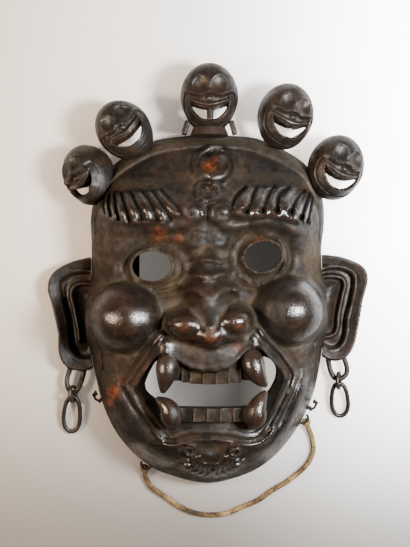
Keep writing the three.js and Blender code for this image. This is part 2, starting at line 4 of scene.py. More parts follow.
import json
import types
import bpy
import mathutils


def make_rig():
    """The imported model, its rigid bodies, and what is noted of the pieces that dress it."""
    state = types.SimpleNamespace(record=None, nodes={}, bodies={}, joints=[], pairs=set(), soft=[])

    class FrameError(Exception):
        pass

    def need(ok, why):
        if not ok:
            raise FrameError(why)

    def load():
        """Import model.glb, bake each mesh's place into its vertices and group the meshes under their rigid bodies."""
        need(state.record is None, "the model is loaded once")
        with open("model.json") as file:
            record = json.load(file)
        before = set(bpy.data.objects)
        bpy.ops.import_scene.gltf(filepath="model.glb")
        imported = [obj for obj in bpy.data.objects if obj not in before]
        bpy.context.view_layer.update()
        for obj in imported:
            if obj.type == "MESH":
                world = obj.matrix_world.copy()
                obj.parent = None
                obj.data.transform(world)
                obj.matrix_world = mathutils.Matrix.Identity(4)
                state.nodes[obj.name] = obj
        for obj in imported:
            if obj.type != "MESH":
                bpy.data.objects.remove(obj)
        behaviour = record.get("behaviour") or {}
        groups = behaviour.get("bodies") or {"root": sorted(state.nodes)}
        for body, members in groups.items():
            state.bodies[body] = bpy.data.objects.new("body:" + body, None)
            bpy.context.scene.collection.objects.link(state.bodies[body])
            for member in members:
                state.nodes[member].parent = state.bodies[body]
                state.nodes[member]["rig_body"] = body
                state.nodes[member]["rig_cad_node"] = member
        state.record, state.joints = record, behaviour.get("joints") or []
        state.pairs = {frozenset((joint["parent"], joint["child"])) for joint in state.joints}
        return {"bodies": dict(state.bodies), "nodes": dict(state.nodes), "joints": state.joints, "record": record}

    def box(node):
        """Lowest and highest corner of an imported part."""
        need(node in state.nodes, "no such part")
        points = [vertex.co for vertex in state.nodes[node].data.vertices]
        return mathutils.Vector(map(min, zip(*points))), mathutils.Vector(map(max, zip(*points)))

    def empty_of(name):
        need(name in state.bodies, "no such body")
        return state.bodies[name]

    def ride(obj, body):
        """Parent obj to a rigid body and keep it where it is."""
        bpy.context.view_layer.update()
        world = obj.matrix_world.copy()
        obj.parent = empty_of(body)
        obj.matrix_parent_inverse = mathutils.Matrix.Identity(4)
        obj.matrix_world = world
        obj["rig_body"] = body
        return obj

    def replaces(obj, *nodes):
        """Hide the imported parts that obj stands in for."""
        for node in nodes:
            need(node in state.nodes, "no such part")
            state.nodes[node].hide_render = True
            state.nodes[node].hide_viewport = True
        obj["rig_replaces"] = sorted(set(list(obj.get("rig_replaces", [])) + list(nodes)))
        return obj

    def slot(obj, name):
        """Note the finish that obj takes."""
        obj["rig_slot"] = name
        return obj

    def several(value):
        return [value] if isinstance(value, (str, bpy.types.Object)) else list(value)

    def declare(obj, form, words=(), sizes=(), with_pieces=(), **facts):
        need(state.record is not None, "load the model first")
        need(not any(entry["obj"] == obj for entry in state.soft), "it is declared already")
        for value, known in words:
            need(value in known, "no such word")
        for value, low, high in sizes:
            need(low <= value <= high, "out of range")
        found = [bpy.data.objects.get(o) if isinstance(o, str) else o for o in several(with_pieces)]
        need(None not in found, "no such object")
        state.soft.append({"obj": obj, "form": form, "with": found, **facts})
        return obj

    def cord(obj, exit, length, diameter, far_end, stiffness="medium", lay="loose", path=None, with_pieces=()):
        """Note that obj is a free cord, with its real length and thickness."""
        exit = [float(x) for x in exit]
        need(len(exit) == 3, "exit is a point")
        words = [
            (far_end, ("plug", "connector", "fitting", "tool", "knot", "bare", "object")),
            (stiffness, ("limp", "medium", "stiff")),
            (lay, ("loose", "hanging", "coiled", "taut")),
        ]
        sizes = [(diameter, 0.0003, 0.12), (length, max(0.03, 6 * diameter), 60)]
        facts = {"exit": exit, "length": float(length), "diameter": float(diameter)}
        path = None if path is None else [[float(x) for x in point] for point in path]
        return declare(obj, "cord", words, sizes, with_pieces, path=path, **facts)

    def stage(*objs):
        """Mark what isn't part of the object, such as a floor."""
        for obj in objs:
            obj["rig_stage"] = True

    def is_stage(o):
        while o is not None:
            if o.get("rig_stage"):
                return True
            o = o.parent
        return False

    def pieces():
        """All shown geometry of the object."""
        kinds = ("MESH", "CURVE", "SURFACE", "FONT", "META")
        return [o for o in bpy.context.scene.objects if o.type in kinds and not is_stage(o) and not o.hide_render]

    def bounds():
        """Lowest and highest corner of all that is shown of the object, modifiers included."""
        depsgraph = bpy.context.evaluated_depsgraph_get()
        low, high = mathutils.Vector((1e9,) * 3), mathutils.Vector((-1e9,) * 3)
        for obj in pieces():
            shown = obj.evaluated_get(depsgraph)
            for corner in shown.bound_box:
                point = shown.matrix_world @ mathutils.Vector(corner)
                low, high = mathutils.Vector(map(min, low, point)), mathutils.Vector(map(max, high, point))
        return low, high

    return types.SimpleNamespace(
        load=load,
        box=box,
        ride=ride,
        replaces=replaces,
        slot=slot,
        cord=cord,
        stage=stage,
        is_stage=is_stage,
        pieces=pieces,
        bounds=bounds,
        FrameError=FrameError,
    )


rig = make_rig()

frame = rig.load()

import json
import math

import bmesh
import bpy
import numpy as np
from mathutils import Matrix, Vector

CAD_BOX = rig.bounds()
MM = 0.001

# The shapes are drawn in millimetres about the middle of the face, as the solids are. The mask's
# box says where that middle lies in the shared frame.
MASK_LOW, MASK_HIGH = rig.box("mask_face")
CROWN_Y = 121
MOVE_X = (MASK_LOW[0] + MASK_HIGH[0]) / 2 / MM
MOVE_Y = MASK_HIGH[1] / MM - CROWN_Y


def world(x, y, z):
    """A drawn point, in millimetres, as a point of the shared frame in metres."""
    return Vector(((x + MOVE_X) * MM, (y + MOVE_Y) * MM, z * MM))


# ---------- camera ----------
EYE_X = -1.8
EYE_Y = -2.8
EYE_HEIGHT = 920
LENS = 67.5
SENSOR = 36


def make_camera():
    data = bpy.data.cameras.new("camera")
    data.lens = LENS
    data.sensor_width = SENSOR
    data.clip_start = 0.05
    camera = bpy.data.objects.new("camera", data)
    camera.location = world(EYE_X, EYE_Y, EYE_HEIGHT)
    bpy.context.scene.collection.objects.link(camera)
    bpy.context.scene.camera = camera


make_camera()


# ---------- small shared functions ----------
def new_object(name, mesh):
    piece = bpy.data.objects.new(name, mesh)
    bpy.context.scene.collection.objects.link(piece)
    return piece


def mesh_from_bmesh(name, shape):
    mesh = bpy.data.meshes.new(name)
    shape.to_mesh(mesh)
    shape.free()
    return mesh


def read_points(mesh):
    flat = np.empty(len(mesh.vertices) * 3)
    mesh.vertices.foreach_get("co", flat)
    return flat.reshape(-1, 3)


def write_points(mesh, points):
    mesh.vertices.foreach_set("co", points.ravel())
    mesh.update()


def to_frame(mesh):
    """Moves a mesh drawn in millimetres to its place in the shared frame."""
    points = read_points(mesh)
    points[:, 0] += MOVE_X
    points[:, 1] += MOVE_Y
    write_points(mesh, points * MM)


def rise(start, end, value):
    """0 at the start value and 1 at the end value, with a smooth slope between them."""
    t = np.clip((value - start) / (end - start), 0, 1)
    return t * t * (3 - 2 * t)


def bell(value, spread):
    """1 at zero, falling away smoothly to both sides."""
    return np.exp(-((value / spread) ** 2))


def half_round(away, half):
    """The height of a round bar of height 1 at a distance from its crest."""
    return np.sqrt(np.clip(1 - (away / half) ** 2, 0, 1))


def soft_max(a, b, blend):
    """The greater of two heights, blended where they meet."""
    h = np.clip(0.5 + 0.5 * (a - b) / blend, 0, 1)
    return b + (a - b) * h + blend * h * (1 - h)


def smooth_line(points, per_span=8, closed=False):
    """A Catmull-Rom line through the points, as an array."""
    knots = np.array(points, dtype=float)
    count = len(knots)
    spans = count if closed else count - 1
    line = []
    for i in range(spans):
        if closed:
            a, b, c, d = (knots[(i + k) % count] for k in (-1, 0, 1, 2))
        else:
            b, c = knots[i], knots[i + 1]
            a = knots[i - 1] if i > 0 else 2 * b - c
            d = knots[i + 2] if i + 2 < count else 2 * c - b
        for step in range(per_span):
            t = step / per_span
            line.append(
                0.5 * (2 * b + (c - a) * t + (2 * a - 5 * b + 4 * c - d) * t**2
                       + (3 * b - a - 3 * c + d) * t**3)
            )
    line.append(knots[0] if closed else knots[-1])
    return np.array(line)


def near_line(x, y, line, reach):
    """Distance to a line and the share of its length there, worked out only within reach."""
    away = np.full(x.shape, 1e3)
    share = np.zeros(x.shape)
    low = line.min(axis=0) - reach
    high = line.max(axis=0) + reach
    here = np.nonzero((x > low[0]) & (x < high[0]) & (y > low[1]) & (y < high[1]))[0]
    if not len(here):
        return away, share
    px, py = x[here], y[here]
    best = np.full(px.shape, 1e3)
    part = np.zeros(px.shape)
    steps = np.hypot(*np.diff(line, axis=0).T)
    run = np.concatenate([[0], np.cumsum(steps)])
    for i in range(len(line) - 1):
        ax, ay = line[i]
        dx, dy = line[i + 1] - line[i]
        length = max(dx * dx + dy * dy, 1e-9)
        t = np.clip(((px - ax) * dx + (py - ay) * dy) / length, 0, 1)
        d = np.hypot(px - ax - t * dx, py - ay - t * dy)
        closer = d < best
        best = np.where(closer, d, best)
        part = np.where(closer, (run[i] + t * steps[i]) / run[-1], part)
    away[here] = best
    share[here] = part
    return away, share


def ridge(x, y, points, half, height, taper=0.0, per_span=8):
    """A rounded raised line, which may thin towards its ends."""
    away, share = near_line(x, y, smooth_line(points, per_span), half + 1)
    ends = np.minimum(share, 1 - share) * 2
    width = half * (1 - taper + taper * np.sqrt(np.clip(ends, 0, 1)))
    round_part = half_round(away, np.maximum(width, 0.1))
    return height * round_part * (1 - taper * (1 - np.clip(ends * 3, 0, 1)))


def groove(x, y, points, half, depth, per_span=8):
    """A cut line that runs out shallow at both ends."""
    away, share = near_line(x, y, smooth_line(points, per_span), half * 3)
    ends = np.clip(np.minimum(share, 1 - share) * 8, 0, 1)
    return -depth * bell(away, half) * (0.25 + 0.75 * ends)


# ---------- the mask's outline and dome ----------
CENTRE_Y = -32
DOME_HEIGHT = 72
DOME_POWER = 3
WALL = 9
RIM_SCALE = 0.915
OUTLINE_POINTS = [
    (0, 121), (38, 119), (56, 113.5), (73.5, 105), (89.5, 93), (97.5, 79), (103.5, 62),
    (104.5, 42), (102, 18), (102.5, -12), (103.5, -44), (102, -74), (98, -98), (92.5, -117),
    (84, -134.5), (72.5, -152), (55.5, -169.5), (34, -182), (0, -189.5), (-36, -181.5),
    (-58, -169.5), (-75.5, -152), (-86.5, -134.5), (-94, -116), (-98.5, -98), (-103, -74),
    (-104.5, -44), (-103, -10), (-103, 24), (-103.5, 50), (-97, 74), (-88, 89), (-77.5, 99),
    (-60, 110), (-43.5, 116.5), (-20.5, 120),
]
OUTLINE = smooth_line(OUTLINE_POINTS, per_span=24, closed=True)
OUTLINE_ANGLES = np.arctan2(OUTLINE[:, 1] - CENTRE_Y, OUTLINE[:, 0])
OUTLINE_REACH = np.hypot(OUTLINE[:, 0], OUTLINE[:, 1] - CENTRE_Y)
OUTLINE_ORDER = np.argsort(OUTLINE_ANGLES)


def outline_radius(angle):
    """How far the outline lies from the dome's middle in a direction."""
    angles, reaches = OUTLINE_ANGLES[OUTLINE_ORDER], OUTLINE_REACH[OUTLINE_ORDER]
    return np.interp(angle, angles, reaches, period=2 * math.pi)


def dome(share, height=DOME_HEIGHT):
    return height * np.sqrt(np.clip(1 - share**DOME_POWER, 0, 1))


# ---------- the face's carving ----------
# The nose, the mouth and the chin stand a little to the right of the middle.
NOSE_X = 3
# Each eye hole's middle, half widths and tilt, and the same of the lid round it.
EYES = [
    {"x": -46.6, "y": 3.4, "rx": 16.6, "ry": 12.6, "tilt": 0.0, "lid": (-41.2, 1.8, 23.8, 17.6)},
    {"x": 46.4, "y": 11.2, "rx": 16.0, "ry": 12.6, "tilt": 0.22, "lid": (43.6, 10.2, 22.6, 20.6)},
]
# Balls of flesh: middle and half widths.
CHEEKS = [(-66, -40, 33, 30), (66.5, -34.5, 32, 29.5)]
CHEEK_TOP = 92
CHEEK_FOOT = 54
WINGS = [(-16.4, -44.2, 17.0, 10.8), (21.4, -41.6, 16.2, 11.4)]
WING_TOP = 103
WING_FOOT = 82
NOSE_TIP = (3.2, -51, 11, 11.6)
NOSE_TIP_TOP = 104.5
NOSE_TIP_FOOT = 88
BOSS = (6.5, 89.3)
KNOB = (0.7, 65.1)

# The deep cuts between the brow locks, each from the curled hole at its foot to its tip.
RIGHT_CUTS = [
    [(19.4, 44.5), (20.7, 53.1), (24.9, 62.9), (32.9, 70.2)],
    [(31.7, 47.6), (35.9, 55.6), (38.4, 64.2), (42.7, 70.5)],
    [(45.1, 48.2), (48.8, 57.4), (52.5, 65.4), (57.4, 70.8)],
    [(57.4, 48.9), (58.2, 56.8), (60.6, 63.2), (65.4, 67.6), (70.4, 70)],
    [(69, 47.6), (72.7, 55.6), (78.2, 62.9), (84.3, 68.4)],
    [(78.2, 43.3), (81, 51), (84.6, 59.5), (88.4, 66)],
    [(84.6, 41), (87, 49), (89, 57), (90.6, 63)],
]
LEFT_CUTS = [
    [(-86.8, 48.5), (-88.8, 56.5), (-88, 66)],
    [(-80.4, 45.8), (-82.9, 55.6), (-83.2, 66.5)],
    [(-73.7, 42.1), (-76.1, 53.1), (-78.6, 66.5)],
    [(-64.5, 40.9), (-67.5, 50.7), (-72.6, 66)],
    [(-54, 43.6), (-58.6, 54.4), (-65, 67)],
    [(-41.8, 42.1), (-46.7, 55.6), (-55.4, 67.4)],
    [(-29.6, 40.9), (-36.9, 53.1), (-46.5, 67)],
    [(-20.6, 45.8), (-28, 56), (-38.4, 67)],
]
RIGHT_BROW = RIGHT_CUTS[0] + [line[-1] for line in RIGHT_CUTS[1:-1]] + RIGHT_CUTS[-1][::-1] + [
    (76, 38.5), (62, 41), (46, 41.5), (31, 40.5),
]
LEFT_BROW = LEFT_CUTS[0] + [line[-1] for line in LEFT_CUTS[1:-1]] + LEFT_CUTS[-1][::-1] + [
    (-30, 37.5), (-42, 37), (-54, 37), (-66, 37), (-78, 40),
]
# Each brow's cuts and outline, and the half width and height of its locks.
BROWS = [(RIGHT_CUTS, RIGHT_BROW, 6.2, 6.4), (LEFT_CUTS, LEFT_BROW, 5.4, 6.0)]
# The smooth roll that closes each brow below and climbs to the temple: half width and height.
BROW_ROLLS = [
    ([(40, 36.5), (54, 36.5), (68, 37), (80, 33), (90, 36)], 6.6, 3.2),
    ([(-34, 35), (-50, 34), (-64, 34), (-78, 34), (-90, 38)], 6.4, 3.0),
]


def spiral(cx, cy, start, turns, wide, narrow, side):
    """A line that winds in towards its middle."""
    points = []
    for t in np.linspace(0, 1, int(turns * 9)):
        angle = start + side * t * turns * 2 * math.pi
        radius = wide + (narrow - wide) * t
        points.append((cx + radius * math.cos(angle), cy + radius * math.sin(angle)))
    return points


# The two large scrolls over the nose: the middle, the fat roll that runs in under the brow, and
# the line engraved round and round in the lobe at its end.
SCROLLS = [
    (12.0, 47.0, [(60, 39), (46, 37), (33, 34.6), (20, 35.4), (10.5, 39.5), (4.6, 45)],
     spiral(12.0, 47.0, -1.9, 1.45, 7.2, 1.5, -1)),
    (-12.6, 48.6, [(-60, 37), (-46, 36), (-33, 35), (-20, 37), (-11, 41), (-5.4, 46)],
     spiral(-12.6, 48.6, -1.25, 1.45, 7.0, 1.5, 1)),
]
SMALL_SCROLLS = [
    (9.6, 26.0, spiral(9.6, 26.0, -1.6, 1.35, 7.4, 1.6, -1)),
    (-8.4, 26.2, spiral(-8.4, 26.2, -1.5, 1.35, 7.2, 1.6, 1)),
]


def ball(x, y, place, foot, top, power=2.0):
    """A ball of flesh that falls away steeply past its edge."""
    cx, cy, rx, ry = place
    away = np.hypot((x - cx) / rx, (y - cy) / ry)
    outside = np.clip(away - 1, 0, None) * min(rx, ry)
    return foot + (top - foot) * np.sqrt(np.clip(1 - away**power, 0, 1)) - outside * 2.5


def inside(x, y, outline):
    """Distance to a closed outline's edge, positive inside it and negative outside."""
    line = smooth_line(outline, 4, closed=True)
    away, _ = near_line(x, y, line, 12)
    within = np.zeros(x.shape, dtype=bool)
    for (ax, ay), (bx, by) in zip(line, line[1:]):
        if ay != by:
            crossing = (ay > y) != (by > y)
            within ^= crossing & (x < (bx - ax) * (y - ay) / (by - ay) + ax)
    return np.where(within, away, -away)


def pillows(x, y, cuts, half, height):
    """Plump locks between deep cuts: the surface falls round and steep into every cut."""
    away = np.full(x.shape, 1e3)
    for line in cuts:
        near, _ = near_line(x, y, smooth_line(line), half + 2)
        away = np.minimum(away, near)
    side = np.clip(away / half, 0, 1)
    return height * (np.sqrt(1 - (1 - side) ** 2) - 1)


def curl_hole(x, y, place):
    """The curled foot of a cut: a hole with a raised ring round it."""
    away = np.hypot(x - place[0], y - place[1])
    return 2.2 * bell(away - 4.0, 1.1) - 4.5 * bell(away, 1.9)


def brow_detail(x, y):
    z = np.zeros(x.shape)
    for cuts, edge, half, height in BROWS:
        bed = rise(-0.6, 2.4, inside(x, y, edge))
        z = z + bed * (height - 0.4 + pillows(x, y, cuts, half, height))
        for line in cuts:
            z = z + groove(x, y, line, 0.9, 2.6)
    for line in RIGHT_CUTS[1:]:
        z = z + curl_hole(x, y, line[0])
    for line in LEFT_CUTS[1:-1]:
        z = z - 3.4 * bell(np.hypot(x - line[0][0], y - line[0][1]), 2.0)
    roll = np.zeros(x.shape)
    for line, half, height in BROW_ROLLS:
        roll = np.maximum(roll, ridge(x, y, line, half, height, 0.3))
    return z + roll


def tapered_roll(x, y, points, half_start, half_end):
    """A rounded roll that narrows evenly from its start to its end."""
    away, share = near_line(x, y, smooth_line(points, 4), half_start + 1)
    half = half_start + (half_end - half_start) * np.clip(share * 1.5, 0, 1)
    ends = np.clip(share * 6, 0, 1)
    return half * 0.95 * ends * half_round(away, half)


# The thin raised line that closes the small scrolls below, like a roof.
FROWN_LINE = [(-14, 13.4), (-6, 16.4), (0.4, 20.6), (7, 16), (15, 12.4)]
# The notch between the large scrolls and the one between the small scrolls.
BROW_NOTCH = [(1.6, 57), (-0.4, 50), (-0.6, 42), (1.6, 36)]
SCROLL_NOTCH = [(0.5, 33), (0.5, 26), (0.5, 20)]


def scroll_detail(x, y):
    """The two large scrolls with their rolls, and the small pair under them."""
    z = np.zeros(x.shape)
    for cx, cy, roll, line in SCROLLS:
        away = np.hypot(x - cx, y - cy) / 11
        lobe = 5.4 * np.sqrt(np.clip(1 - away**3, 0, 1))
        z = np.maximum(z, np.maximum(lobe, tapered_roll(x, y, roll, 5.4, 4.6)))
        z = z + groove(x, y, line, 1.1, 2.8, per_span=4)
    for cx, cy, line in SMALL_SCROLLS:
        away = np.hypot((x - cx) / 10.4, (y - cy) / 9.6)
        z = z + 3.4 * half_round(away, 1) + groove(x, y, line, 0.9, 2.0, per_span=4)
    z = z + groove(x, y, BROW_NOTCH, 1.3, 2.8) + ridge(x, y, FROWN_LINE, 1.4, 2.4, 0.4)
    return z + groove(x, y, SCROLL_NOTCH, 1.0, 2.0)


def boss_detail(x, y):
    """The ringed boss on the forehead, its tail, and the ringed knob below it."""
    away = np.hypot(x - BOSS[0], y - BOSS[1])
    angle = np.arctan2(y - BOSS[1], x - BOSS[0])
    open_side = 1 - bell(angle + 2.2, 0.5)
    z = 5.5 * half_round(away, 13.6)
    z = z + 4.0 * half_round(away - 17, 2.8) * open_side
    tail = ridge(x, y, [(17.5, 76.5), (14, 70), (12.5, 63)], 2.2, 2.6, taper=0.5)
    away = np.hypot(x - KNOB[0], y - KNOB[1])
    z = z + tail * rise(9, 11.5, away)
    z = z + 3.4 * half_round(away - 9.0, 2.0) + 3.2 * half_round(away - 4.8, 1.7)
    return z + 3.6 * half_round(away, 2.2) + 2.0 * rise(12, 8, away)


def eye_axes(eye, across, up):
    """Turns an offset from the middle of an eye to the eye's own tilted axes."""
    c, s = math.cos(eye["tilt"]), math.sin(eye["tilt"])
    return across * c + up * s, up * c - across * s


def hole_edge(eye, x, y):
    """Distance outside the edge of an eye hole, negative in the hole."""
    u, v = eye_axes(eye, x - eye["x"], y - eye["y"])
    return (np.hypot(u / eye["rx"], v / eye["ry"]) - 1) * eye["ry"]


def eye_detail(x, y, z):
    """Sinks a trough round each eye and raises the eyeball, the lid and the rim of the hole."""
    for eye in EYES:
        lx, ly, rx, ry = eye["lid"]
        u, v = eye_axes(eye, x - lx, y - ly)
        away = np.hypot(u / rx, v / ry)
        z = z - 5 * rise(1.6, 1.06, away) * rise(0.3, 0.9, away)
        z = z + 4.2 * rise(1.0, 0.5, away)
        z = z + 3.6 * bell((away - 1.0) * ry, 1.4) - 2.2 * bell((away - 1.2) * ry, 2.0)
        z = z - 1.8 * bell((away - 0.84) * ry, 1.8)
        hole = hole_edge(eye, x, y)
        z = z + 1.9 * bell(hole - 0.9, 0.9) - 1.2 * bell(hole - 3.0, 1.1)
    return z


# Fleshy rolls across the nose: the line of each crest, its half width and its height.
NOSE_ROLLS = [
    ([(-21, 3.0), (-10, 6.6), (0.6, 8.6), (10, 6.4), (21, 1.8)], 3.0, 2.2),
    ([(-19, -8.6), (-11.5, -4.0), (-5, -4.6), (-0.5, -9.6)], 4.6, 3.6),
    ([(3.2, -9.0), (8.6, -4.0), (16, -3.4), (24.5, -6.6)], 4.6, 3.6),
    ([(-24, -20.6), (-15.6, -15.8), (-8.4, -16.2), (-3.6, -22), (-1.4, -30)], 5.0, 4.0),
    ([(6.6, -27), (10, -18.8), (18, -15.2), (29, -17.4)], 5.0, 4.0),
]


NOSE_TOP_Y = 14
NOSE_LENGTH = 64
NOSE_FOOT_Y = -55


def nose_form(x, y):
    """The bridge of the nose, which widens and rises towards its tip."""
    along = np.clip((NOSE_TOP_Y - y) / NOSE_LENGTH, 0, 1)
    middle = NOSE_X * along
    half = 14.5 + 11 * along
    crest = 75 + 28 * along**1.25
    below = np.clip(NOSE_FOOT_Y - y, 0, None)
    above = np.clip(y - NOSE_TOP_Y, 0, None)
    return crest - 18 * ((x - middle) / half) ** 2 - below**2 * 1.2 - above * 1.2


def soft_roll(x, y, points, half, height):
    """A roll of flesh: full above its crest and cut in sharply just below it."""
    away, share = near_line(x, y, smooth_line(points), half * 3)
    ends = np.clip(np.minimum(share, 1 - share) * 5, 0, 1)
    below, _ = near_line(x, y + half * 1.05, smooth_line(points), half * 3)
    return ends * (1.6 * height * bell(away, half) - 1.6 * height * bell(below, half * 0.4))


def nose_detail(x, y):
    """Two hollows in the bridge and the fleshy rolls across it."""
    z = -4.5 * bell(np.hypot((x - 1.5) * 0.7, y - 13.6), 4.2)
    z = z - 2.4 * bell(np.hypot((x - 1.5) * 0.45, y - 0.5), 4.0)
    for points, half, height in NOSE_ROLLS:
        z = z + soft_roll(x, y, points, half, height)
    return z


# The sharp valleys that run from the wings to the tip.
NOSE_VALLEYS = [
    [(-13, -32), (-9.2, -36), (-5.2, -40), (-1.8, -44.8), (1.4, -50.5)],
    [(15.4, -31.5), (12.6, -35.2), (9, -41), (5.4, -47.2), (4, -51)],
]


def wing_form(x, y, z):
    """Adds the wings and the tip of the nose and cuts the valleys between them."""
    for wing in WINGS:
        z = soft_max(z, ball(x, y, wing, WING_FOOT, WING_TOP, 2.4), 2.4)
    z = soft_max(z, ball(x, y, NOSE_TIP, NOSE_TIP_FOOT, NOSE_TIP_TOP, 2.6), 2.2)
    for line in NOSE_VALLEYS:
        z = z + groove(x, y, line, 1.3, 3.4)
    return z


NOSE_BASE = [
    (-35, -40), (-34.5, -49), (-30, -54), (-19, -56.5), (-9, -58.4), (-1, -61.2), (4, -62.2),
    (10, -60.5), (18, -56.8), (28, -52.2), (36, -46), (38.8, -39),
]
# The folds that run from the wings out round the corners of the mouth.
FOLDS = [
    [(-37, -50), (-44, -60), (-55.5, -77), (-68.5, -96.6), (-59.4, -112.4), (-48.6, -127),
     (-38, -140.5)],
    [(39, -43), (47, -54.5), (61, -67.4), (75, -87.6), (68, -105), (60, -123), (51, -140)],
]
LIP_EDGE = [
    (-61.5, -99), (-53.5, -85), (-46, -74), (-41, -69.6), (-35.5, -68.6), (-30, -69.6),
    (-24, -74), (-15, -79.4), (-5, -82.6), (4.5, -83.2), (12, -82.2), (19.5, -79), (27, -72),
    (33, -65.4), (40, -63), (46.5, -65), (55.5, -75), (66.5, -88.4), (61.5, -105.5),
    (54.5, -122.5), (50, -131.6), (43.5, -137), (35, -138.6), (20, -135.4), (5, -133.4),
    (-9, -133.6), (-19, -135.4), (-28, -138.6), (-35, -137), (-42, -128.5), (-52, -113.5),
]


def muzzle_detail(x, y, z):
    """Swells the muzzle over the upper teeth and cuts the line under the nose."""
    z = z + 13 * bell(np.hypot((x - 2) * 0.4, (y + 71) * 0.78), 18)
    for cx, cy in ((-38, -60), (41, -54)):
        z = z + 8 * bell(np.hypot(x - cx, (y - cy) * 0.9), 11)
    return z + groove(x, y, NOSE_BASE, 1.8, 6.5)


def lip_detail(x, y, z):
    """Raises the folds beside the mouth and the lip round it."""
    for points in FOLDS:
        away, _ = near_line(x, y, np.array(points), 12)
        z = z + 2.6 * half_round(away, 2.2) - 2.0 * bell(away - 4.2, 1.8)
    away, _ = near_line(x, y, smooth_line(LIP_EDGE, closed=True), 14)
    z = z + 1.9 * half_round(away - 1.3, 2.0)
    # the lower lip is a second low roll under the edge
    lower = rise(-128, -136, y)
    return z + lower * (3.0 * bell(away - 7.4, 2.4) - 1.2 * bell(away - 4.4, 1.2))


CHIN_CURLS = [(-14.6, -150.4, -1), (24.0, -151.2, 1)]
BEARD_X = 4.4
BEARD_Y = -153.5
BEARD_STRANDS = 12
BEARD_START = 197
BEARD_STEP = 13.3


def beard_strand(number):
    """One wavy strand of the fan, from its root out to its tip."""
    angle = math.radians(BEARD_START + BEARD_STEP * number)
    bend = 0.06 * math.copysign(1, math.cos(angle))
    line = []
    for radius, turned in ((10.5, 0.0), (15, bend), (19.5, -bend), (25, bend)):
        x = BEARD_X + radius * math.cos(angle + turned) * 1.12
        line.append((x, BEARD_Y + radius * math.sin(angle + turned)))
    return line


def chin_detail(x, y):
    """Two curls and the short fringe of beard that fans out between them."""
    z = np.zeros(x.shape)
    for cx, cy, turn in CHIN_CURLS:
        curl = spiral(cx, cy, math.pi / 2 - turn * 0.4, 1.3, 6.0, 1.8, turn)
        z = np.maximum(z, ridge(x, y, curl, 1.7, 5.4, taper=0.2, per_span=4))
    for number in range(BEARD_STRANDS):
        line = beard_strand(number)
        z = np.maximum(z, ridge(x, y, line, 1.6, 4.2, taper=0.3, per_span=5))
    return z - 5.0 * bell(np.hypot((x - 4.6) * 0.8, y + 150), 7)


HAIRS = 9
HAIR_STEP = 3.4


def hair_lines(x, y):
    """Fine engraved hairs that sweep round under each cheek."""
    z = np.zeros(x.shape)
    for k in range(HAIRS):
        lift = HAIR_STEP * k
        left = [(-97 + 1.2 * k, -52 - lift), (-88, -62 - lift), (-74 + 0.6 * k, -70.5 - 0.8 * lift)]
        z += groove(x, y, left, 0.8, 1.6)
        right = [(97 - 1.0 * k, -46 - lift), (90, -54 - lift), (80 - 0.8 * k, -59 - 0.9 * lift)]
        z += groove(x, y, right, 0.8, 1.6)
    return z


def crown_band(y, share, z):
    """The broad rounded band round the crown, which narrows to a rim down the sides."""
    side = 1 - rise(40, 100, y)
    half = 0.036 - 0.012 * side
    middle = 0.938 + 0.022 * side
    bead = half_round(share - middle, half)
    trough = bell((share - middle + half * 1.3) / half, 0.5)
    return z + (2.6 - 0.6 * side) * bead * rise(-4, 30, y) - 0.9 * trough * rise(14, 40, y)


# The line of the jaw on each side, where it swells.
JAW_ROLLS = [
    [(80, -104), (68, -130), (50, -148), (36, -155)],
    [(-80, -108), (-66, -132), (-48, -148), (-32, -155)],
]


def face_height(x, y, share):
    """The whole carved front: the dome, then each feature from the brow down, then the lines."""
    z = dome(share)
    inner = rise(0.99, 0.8, share)
    z = z - 5.5 * rise(66, 86, y) * bell(np.abs(x - NOSE_X) - 42, 34) * inner
    z = crown_band(y, share, z)
    brow_side = rise(98, 72, np.abs(x))
    z = z + 13 * bell(y - 50, 15.5) * brow_side * rise(20, 35, y)
    z = z + 4 * bell(np.hypot(x, (y - 27) * 1.1), 17)
    temple = bell(np.hypot(x - 75, (y - 28) * 1.1), 13) + bell(np.hypot(x + 76, (y - 19) * 1.1), 13)
    z = z + 5.5 * temple
    z = eye_detail(x, y, z)
    z = muzzle_detail(x, y, z)
    chin = bell(np.hypot((x - NOSE_X) * 0.45, (y + 153) * 0.85), 20)
    z = z + 11 * chin * rise(1, 0.85, share)
    for line in JAW_ROLLS:
        away, _ = near_line(x, y, smooth_line(line), 34)
        z = z + 7 * bell(away, 13) * rise(1, 0.88, share)
    z = lip_detail(x, y, z)
    for cheek in CHEEKS:
        z = soft_max(z, ball(x, y, cheek, CHEEK_FOOT, CHEEK_TOP), 3.5)
    z = soft_max(z, nose_form(x, y), 5)
    z = z + nose_detail(x, y) * rise(26, 20, np.abs(x - NOSE_X) - 8)
    z = wing_form(x, y, z)
    z = z + brow_detail(x, y) + scroll_detail(x, y) + boss_detail(x, y)
    z = z + chin_detail(x, y) * rise(1.0, 0.9, share) + hair_lines(x, y)
    return z


CARVED_GRID = (260, 310)
PLAIN_GRID = (60, 80)
ROW_SPACING = 0.9
RIM_HEIGHT = 2.0


